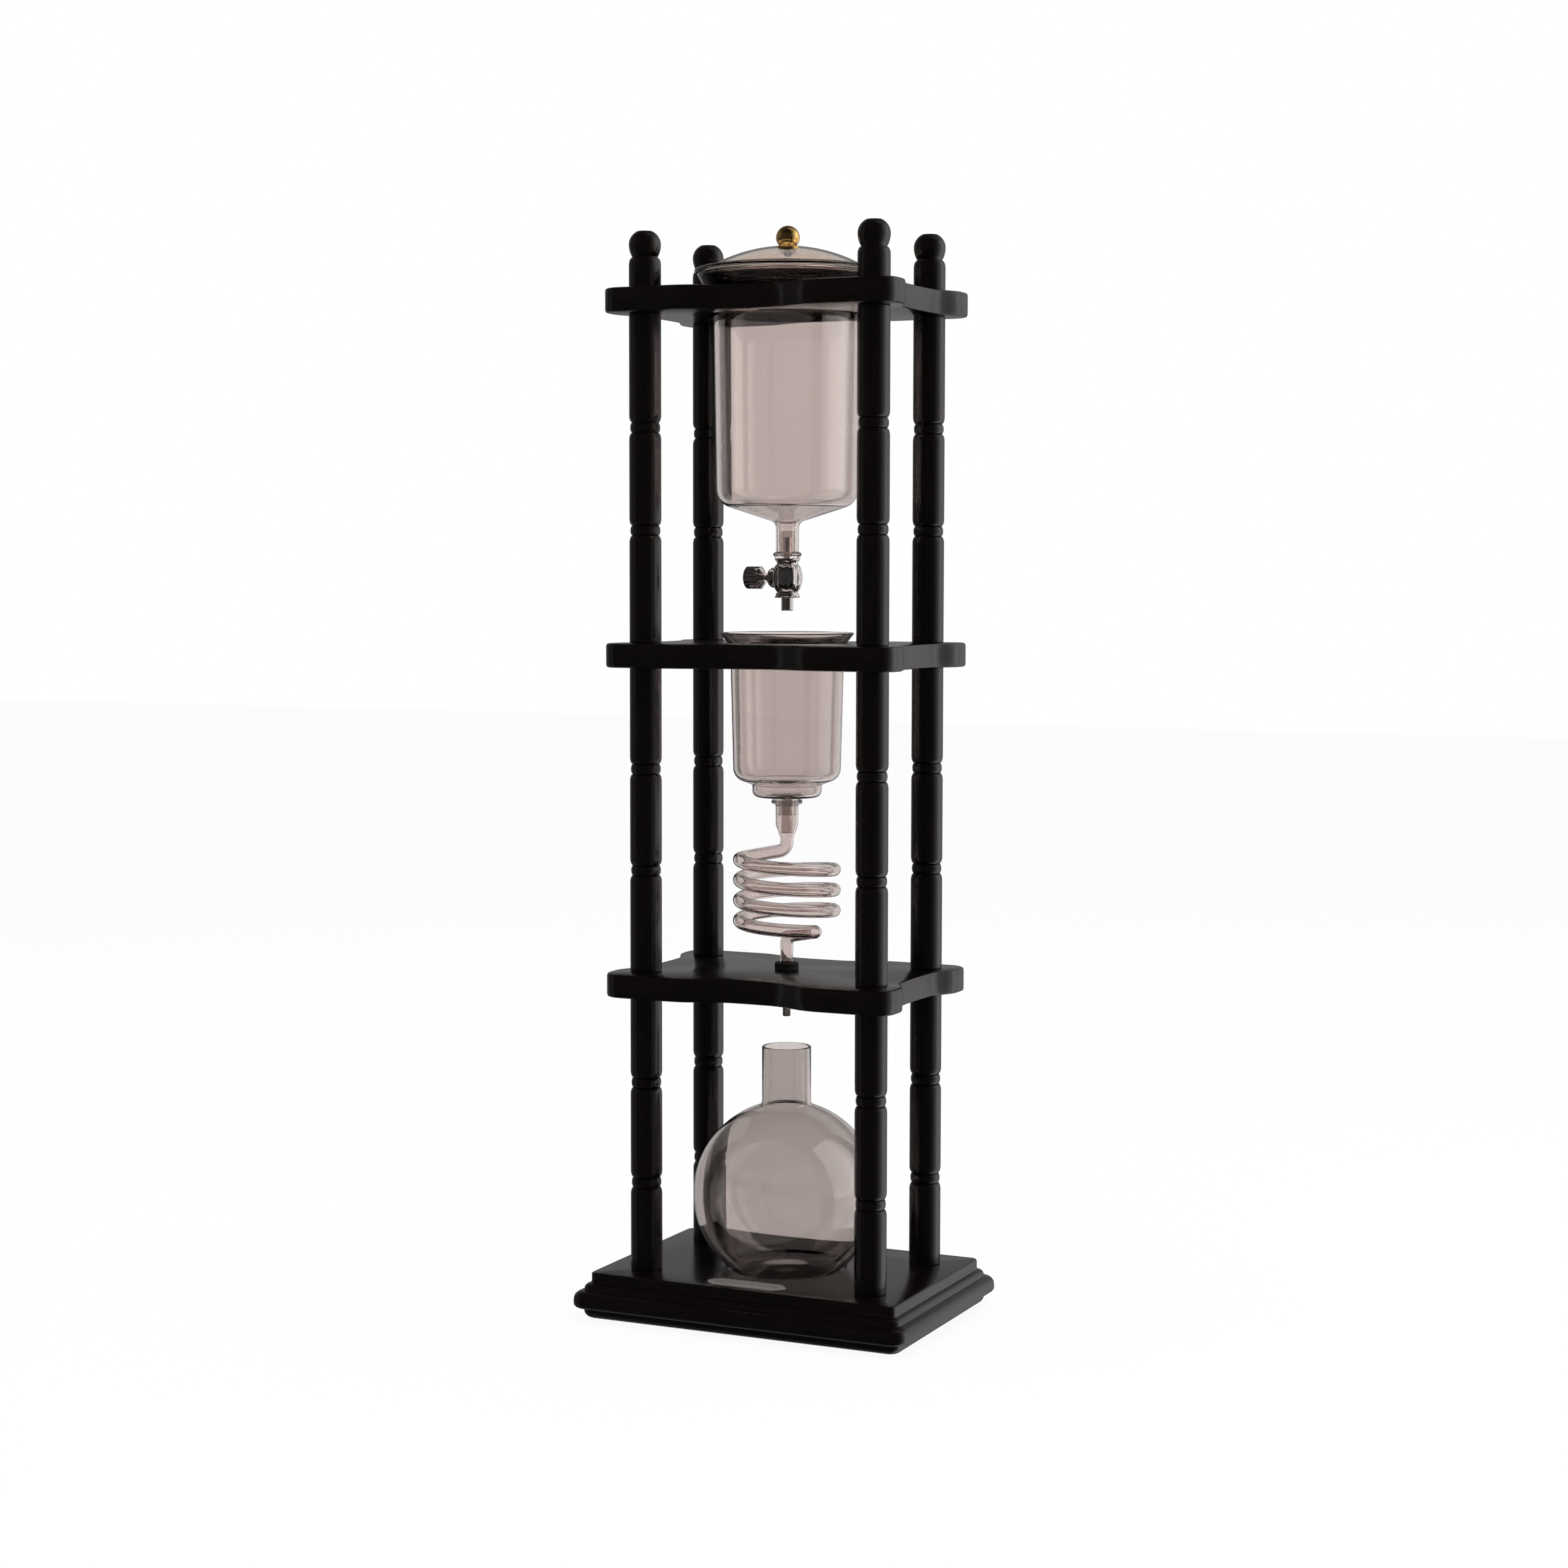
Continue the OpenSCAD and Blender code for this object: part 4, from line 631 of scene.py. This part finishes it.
def spiral_stations():
    """Points of the tube's axis with the outer and the bore radius at each."""
    coil_r, pitch, turns, start = 35.2, 15.2, 3.33, 205
    bend_r, slope, end_rise = 7.5, 11, 32
    socket_bore, stub_r, socket_r, rim_r, rim_round = 7.05, 4.4, 8.5, 11.7, 1.4
    throat_rise, cone_h = 4.8, 7.7
    riser_r, riser_bore, riser_rise, riser_half = 4.6, BORE_R - 0.4, 2.75, 6
    tip_r, tip_bore, tip_end_r, tip_end_bore, tip_round = 2.95, 1.7, 2.6, 1.9, 0.5
    rim_z, tip_z = top_of("glass_spiral"), bottom_of("glass_spiral")
    shelf_z = top_of("lower_shelf")
    end_z = shelf_z + end_rise
    start_z = end_z + turns * pitch
    pitch_slope = pitch / (2 * math.pi * coil_r)
    lead, height, turn = lead_in(coil_r, bend_r, slope, pitch_slope)
    end = start + 360 * turns
    throat_z = start_z + height + throat_rise
    cone_z = throat_z + cone_h
    riser_z = shelf_z + riser_rise
    # The straight parts above and below the turns, as (height, outer radius, bore radius)
    rim = [
        (rim_z - rim_round + rim_round * math.cos(math.radians(a)),
         rim_r - rim_round + rim_round * math.sin(math.radians(a)), socket_bore)
        for a in range(0, 181, 20)
    ]
    socket = [
        (rim_z - 2 * rim_round - 0.5, socket_r + 0.3, socket_bore),
        (rim_z - 4.2, socket_r, socket_bore),
        (cone_z + 0.8, socket_r, socket_bore),
        (cone_z - 0.4, socket_r - 0.25, socket_bore - 0.2),
        (throat_z + 0.8, stub_r + 1.45, stub_r + 0.25),
        (throat_z - 0.6, stub_r + 1.0, stub_r - 0.15),
        (throat_z - 2.4, TUBE_R, BORE_R),
    ]
    riser = [
        (riser_z + riser_half, riser_r, riser_bore),
        (riser_z, riser_r, riser_bore),
        (riser_z - riser_half, tip_r, tip_bore),
        (tip_z + tip_round, tip_r, tip_bore),
        (tip_z, tip_end_r, tip_end_bore),
    ]
    steps = round(turns * COIL_STEPS)
    path = placed(lead, start - turn, 1, start_z)
    for i in range(1, steps):
        a = math.radians(start + 360 * turns * i / steps)
        z = start_z - turns * pitch * i / steps
        path.append((coil_r * math.cos(a), coil_r * math.sin(a), z))
    path += placed(lead, end + turn, -1, end_z)[::-1]
    above = [((0, 0, z), outer_r, bore_r) for z, outer_r, bore_r in rim + socket]
    below = [((0, 0, z), outer_r, bore_r) for z, outer_r, bore_r in riser]
    return above + [(point, TUBE_R, BORE_R) for point in path] + below


def spiral():
    stations = spiral_stations()
    path = [Vector(point) for point, _, _ in stations]
    last = len(path) - 1
    across = Vector((1, 0, 0))
    outer, inner = [], []
    for i, (_, outer_r, inner_r) in enumerate(stations):
        along = (path[min(i + 1, last)] - path[max(i - 1, 0)]).normalized()
        across = (across - along * across.dot(along)).normalized()
        side = along.cross(across)
        for ring, radius in ((outer, outer_r), (inner, inner_r)):
            for k in range(TUBE_SIDES):
                a = 2 * math.pi * k / TUBE_SIDES
                ring.append(path[i] + radius * (across * math.cos(a) + side * math.sin(a)))
    half = len(outer)
    faces = []
    for i in range(last):
        a, b = i * TUBE_SIDES, (i + 1) * TUBE_SIDES
        faces += [face[::-1] for face in ring_faces(b, a, TUBE_SIDES)]
        faces += ring_faces(half + b, half + a, TUBE_SIDES)
    faces += ring_faces(half, 0, TUBE_SIDES)
    end = last * TUBE_SIDES
    faces += ring_faces(end, half + end, TUBE_SIDES)
    add_piece("glass_spiral_tube", outer + inner, faces, "stand", spiral_glass,
              ["glass_spiral"], sharp=50)


# Tap body: lobes between sharp valleys, two flanges, the stem's boss and the barbed inlet

TAP_SIDES = 192
TAP_SHARP = 30
TAP_H = 29.1
INLET_L = 15.3


def tap_section():
    """The casting's (radius, height, share of the lobes' depth), from its foot up. The belly
    between its necks is part of an ellipse."""
    belly_r, belly_share, axis_share, rings = 11.7, 1.21, 0.51, 37
    flange_t, neck_h = 1.5, 3.7
    axis_h = axis_share * TAP_H
    belly_half = belly_r * belly_share
    low, high = 3.6, TAP_H - flange_t - neck_h
    lower = [(9.3, 0), (9.5, 0.2), (9.5, 0.6), (9.2, 0.8), (8.6, 2.0), (8.4, low)]
    upper = [
        (8.2, high + 0.4), (7.8, high + 1.2), (7.8, high + 1.9), (8.5, high + 3.1),
        (9.0, TAP_H - flange_t), (9.25, TAP_H - 1.3), (9.25, TAP_H - 0.2), (9.05, TAP_H),
    ]
    belly = []
    for i in range(rings):
        share = (i + 0.5) / rings
        z = low + (high - low) * share
        r = belly_r * math.sqrt(1 - ((z - axis_h) / belly_half) ** 2)
        belly.append((r, z, math.sin(math.pi * share)))
    section = [(r, z, 0) for r, z in lower] + belly + [(r, z, 0) for r, z in upper]
    return section, axis_h


def tap_body():
    lobes, lobe_depth, crease = 8, 0.1, 0.15
    foot_z = top_of("tap_body") - INLET_L - TAP_H
    section, axis_h = tap_section()
    points, faces = [], []
    for radius, z, share in section:
        for k in range(TAP_SIDES):
            a = 2 * math.pi * k / TAP_SIDES
            r = radius * (1 - lobe_depth * share * (1 - abs(math.cos(lobes * a / 2))))
            points.append((r * math.cos(a), r * math.sin(a), foot_z + z))
    for i in range(len(section) - 1):
        faces += ring_faces(i * TAP_SIDES, (i + 1) * TAP_SIDES, TAP_SIDES)
    faces.append(tuple(range(TAP_SIDES))[::-1])
    faces.append(tuple((len(section) - 1) * TAP_SIDES + k for k in range(TAP_SIDES)))
    casting = add_piece("tap_casting", points, faces, "water_vessel", chrome,
                        ["tap_body"], sharp=TAP_SHARP)
    ease_edges(casting, crease, TAP_SHARP)
    tap_inlet(foot_z + TAP_H)
    tap_boss(foot_z + axis_h)


def tap_inlet(top_z):
    inlet_r, barbs, barb_depth = 3.3, 4, 0.5
    profile = [(0, top_z + INLET_L)]
    for i in range(barbs, 0, -1):
        z = top_z + INLET_L * i / barbs
        profile += [(inlet_r - barb_depth, z), (inlet_r, z - INLET_L / barbs)]
    profile += [(0, top_z)]
    points, faces = turned(profile, closed=False)
    add_piece("tap_inlet", points, faces, "water_vessel", chrome, sharp=TAP_SHARP)


def tap_boss(axis_z):
    """A short cylinder, turned upright and then laid along the stem."""
    profile = [(0, 9.5), (6.9, 9.5), (7.3, 9.1), (7.3, 1), (0, 1)]
    points, faces = turned(profile, closed=False)
    points = [(-z, y, axis_z + x) for x, y, z in points]
    add_piece("tap_boss", points, faces, "water_vessel", chrome, sharp=TAP_SHARP)


# CAD nodes that stay, with their finish

SMOOTH_ANGLE = 35
EASE_ANGLE = 40
MERGE_DISTANCE = 0.002


def smooth_tree():
    """Geometry nodes that join a node's split corners and shade it smooth up to an angle."""
    tree = bpy.data.node_groups.new("smooth_by_angle", "GeometryNodeTree")
    tree.interface.new_socket("Geometry", in_out="INPUT", socket_type="NodeSocketGeometry")
    tree.interface.new_socket("Geometry", in_out="OUTPUT", socket_type="NodeSocketGeometry")
    start = tree.nodes.new("NodeGroupInput")
    end = tree.nodes.new("NodeGroupOutput")
    merge = tree.nodes.new("GeometryNodeMergeByDistance")
    merge.inputs["Distance"].default_value = MERGE_DISTANCE * MM
    smooth_faces = tree.nodes.new("GeometryNodeSetShadeSmooth")
    smooth_edges = tree.nodes.new("GeometryNodeSetShadeSmooth")
    smooth_edges.domain = "EDGE"
    edge = tree.nodes.new("GeometryNodeInputMeshEdgeAngle")
    compare = tree.nodes.new("FunctionNodeCompare")
    compare.operation = "LESS_THAN"
    compare.inputs["B"].default_value = math.radians(SMOOTH_ANGLE)
    link = tree.links.new
    link(start.outputs[0], merge.inputs["Geometry"])
    link(merge.outputs["Geometry"], smooth_faces.inputs["Geometry"])
    link(smooth_faces.outputs["Geometry"], smooth_edges.inputs["Geometry"])
    link(edge.outputs["Unsigned Angle"], compare.inputs["A"])
    link(compare.outputs["Result"], smooth_edges.inputs["Shade Smooth"])
    link(smooth_edges.outputs["Geometry"], end.inputs[0])
    return tree


smoothing = smooth_tree()


def dress(node, material, bevel=0.0):
    """Gives a CAD node its material, smooth shading and, where asked, eased edges."""
    piece = nodes[node]
    mesh = piece.data
    mesh.materials.clear()
    mesh.materials.append(material)
    if "custom_normal" in mesh.attributes:
        mesh.attributes.remove(mesh.attributes["custom_normal"])
    smoother = piece.modifiers.new("smooth", "NODES")
    smoother.node_group = smoothing
    if bevel:
        ease_edges(piece, bevel, EASE_ANGLE)


def dress_frame():
    for node in nodes:
        if "spindle" in node or "finial" in node:
            dress(node, wood_upright)
    for node in ("lower_shelf", "middle_shelf", "top_shelf", "base"):
        dress(node, wood_flat)
    for node in ("rubber_pads", "grommet", "tap_packing"):
        dress(node, rubber, bevel=0.3)
    for node in ("socket_seal", "tap_bush", "knob_washer"):
        dress(node, silicone)
    for node in ("tap_bonnet", "tap_stem", "tap_spout"):
        dress(node, chrome)
    dress("tap_knob", chrome, bevel=0.25)
    dress("lid_knob", gold)
    dress("name_plate", plate_metal, bevel=0.2)
    for node in ("plate_pins", "base_screws", "knob_screw", "lower_shelf_studs",
                 "middle_shelf_studs", "top_shelf_studs"):
        dress(node, plain_steel)


# Floor, light and background

FLOOR_HALF = 8000
FLOOR_GLOW = 0.93
LAMP_AIM = (0, 0, 0.42)

# Brightness of the room by compass direction, as (degrees from +X towards +Y, brightness). It
# is brightest on the right, dim in front, and has a narrow window on the left.
ROOM = [
    (-180, 0.08), (-157, 0.04), (-154, 0.25), (-151, 0.25), (-148, 0.03), (-50, 0.02),
    (-25, 0.04), (-8, 0.20), (12, 0.55), (32, 1.20), (57, 0.60), (90, 0.22), (180, 0.10),
]
ROOM_STRENGTH = 1.5

# The room's brightness falls to this share of itself between these heights of the direction,
# where 0 is level and 1 is straight up
ROOM_FADE = (0.35, 0.85)
ROOM_TOP_SHARE = 0.25

# The two windows, wider and softer, where glass shows them by a reflection inside it
WINDOWS = [
    (-170, 0.0), (-158, 0.4), (-145, 0.4), (-133, 0.0), (-12, 0.0), (4, 1.0), (36, 1.0), (52, 0.0),
]
WINDOW_STRENGTH = 3.2

# Share of the white that is taken from such a reflection, by the height of its direction
BELT = ((0.165, 0), (0.20, 0.93), (0.33, 0.93), (0.45, 0.1))


def background_rays(tree):
    """1 for rays from the camera, from gloss or through glass, which show the background, and 0
    for the rest."""
    path = tree.nodes.new("ShaderNodeLightPath")
    total = path.outputs["Is Camera Ray"]
    for name in ("Is Glossy Ray", "Is Transmission Ray"):
        total = calculate(tree, "MAXIMUM", total, path.outputs[name])
    return total


def pale_floor():
    """A floor with a faint shadow, almost as white as the background where those rays meet it."""
    half = FLOOR_HALF
    corners = [(-half, -half, 0), (half, -half, 0), (half, half, 0), (-half, half, 0)]
    mesh = bpy.data.meshes.new("floor")
    mesh.from_pydata([Vector(c) * MM for c in corners], [], [(0, 1, 2, 3)])
    material, tree, shader = new_material("pale_floor")
    set_inputs(shader, Base_Color=(0.86, 0.855, 0.85, 1), Roughness=0.9, Specular_IOR_Level=0.0)
    glow = tree.nodes.new("ShaderNodeEmission")
    glow.inputs["Strength"].default_value = 1.0
    share = calculate(tree, "MULTIPLY", background_rays(tree), FLOOR_GLOW)
    surface = mixed_shader(tree, share, shader.outputs[0], glow.outputs[0])
    tree.links.new(surface, tree.nodes["Material Output"].inputs["Surface"])
    mesh.materials.append(material)
    floor = bpy.data.objects.new("floor", mesh)
    floor.visible_glossy = False
    bpy.context.scene.collection.objects.link(floor)


def compass_ramp(tree, share, table):
    """A ramp of brightness by compass direction."""
    places = [((degrees + 180) / 360, value) for degrees, value in table]
    return table_ramp(tree, share, places, "EASE")


def room_strength(tree, compass, height):
    """Strength of the room that gloss mirrors, by compass direction and height."""
    walls = compass_ramp(tree, compass, ROOM)
    strengths = (ROOM_STRENGTH, ROOM_STRENGTH * ROOM_TOP_SHARE)
    fade = map_range(tree, height, ROOM_FADE, strengths, "SMOOTHSTEP")
    return calculate(tree, "MULTIPLY", walls, fade)


def white_strength(tree, path, compass, height):
    """Strength of the white behind the object. It is 1, but for what glass shows by a reflection
    inside it, which has the dark belt and the windows."""
    reflected = calculate(tree, "MINIMUM", path.outputs["Glossy Depth"], 1)
    inside = calculate(tree, "MULTIPLY", path.outputs["Is Transmission Ray"], reflected)
    lost = calculate(tree, "MULTIPLY", inside, table_ramp(tree, height, BELT))
    windows = calculate(tree, "MULTIPLY", inside, compass_ramp(tree, compass, WINDOWS))
    gained = calculate(tree, "MULTIPLY", windows, WINDOW_STRENGTH)
    rest = calculate(tree, "SUBTRACT", 1, lost)
    return calculate(tree, "ADD", rest, gained)


def pale_world():
    """White behind the object, and a room round it that polished surfaces mirror."""
    world = bpy.data.worlds.new("world")
    bpy.context.scene.world = world
    world.use_nodes = True
    tree = world.node_tree
    link = tree.links.new
    light = tree.nodes["Background"]
    set_inputs(light, Color=(1, 0.985, 0.97, 1), Strength=0.7)
    white = tree.nodes.new("ShaderNodeBackground")
    set_inputs(white, Color=(1, 1, 1, 1))
    room = tree.nodes.new("ShaderNodeBackground")
    set_inputs(room, Color=(1, 0.97, 0.95, 1))
    coordinates = tree.nodes.new("ShaderNodeTexCoord")
    parts = tree.nodes.new("ShaderNodeSeparateXYZ")
    link(coordinates.outputs["Generated"], parts.inputs[0])
    height = parts.outputs["Z"]
    angle = calculate(tree, "ARCTAN2", parts.outputs["Y"], parts.outputs["X"])
    compass = map_range(tree, angle, (-math.pi, math.pi), (0, 1))
    path = tree.nodes.new("ShaderNodeLightPath")
    link(room_strength(tree, compass, height), room.inputs["Strength"])
    link(white_strength(tree, path, compass, height), white.inputs["Strength"])
    seen = mixed_shader(tree, background_rays(tree), light.outputs[0], white.outputs[0])
    not_through = calculate(tree, "SUBTRACT", 1, path.outputs["Is Transmission Ray"])
    mirrored = calculate(tree, "MULTIPLY", path.outputs["Is Glossy Ray"], not_through)
    surface = mixed_shader(tree, mirrored, seen, room.outputs[0])
    link(surface, tree.nodes["World Output"].inputs["Surface"])


def soft_lamp(name, place, width, height, power):
    """A lamp towards the object, which neither gloss nor glass shows."""
    data = bpy.data.lights.new(name, "AREA")
    data.shape = "RECTANGLE"
    data.size, data.size_y = width, height
    data.energy = power
    lamp = bpy.data.objects.new(name, data)
    lamp.location = place
    lamp.rotation_euler = (Vector(LAMP_AIM) - Vector(place)).to_track_quat("-Z", "Y").to_euler()
    lamp.visible_glossy = False
    lamp.visible_transmission = False
    bpy.context.scene.collection.objects.link(lamp)


def add_lamps():
    soft_lamp("window_left", (-2.2, -1.2, 1.2), width=1.1, height=1.6, power=9)
    soft_lamp("window_right", (2.4, 0.9, 1.1), width=2.1, height=1.8, power=27)
    soft_lamp("ceiling", (0.2, -0.4, 2.6), width=1.8, height=1.8, power=34)


add_camera()
water_vessel()
coffee_vessel()
flask()
lid()
spiral()
tap_body()
dress_frame()
pale_floor()
pale_world()
add_lamps()

settings = bpy.context.scene.view_settings
settings.view_transform = "Standard"
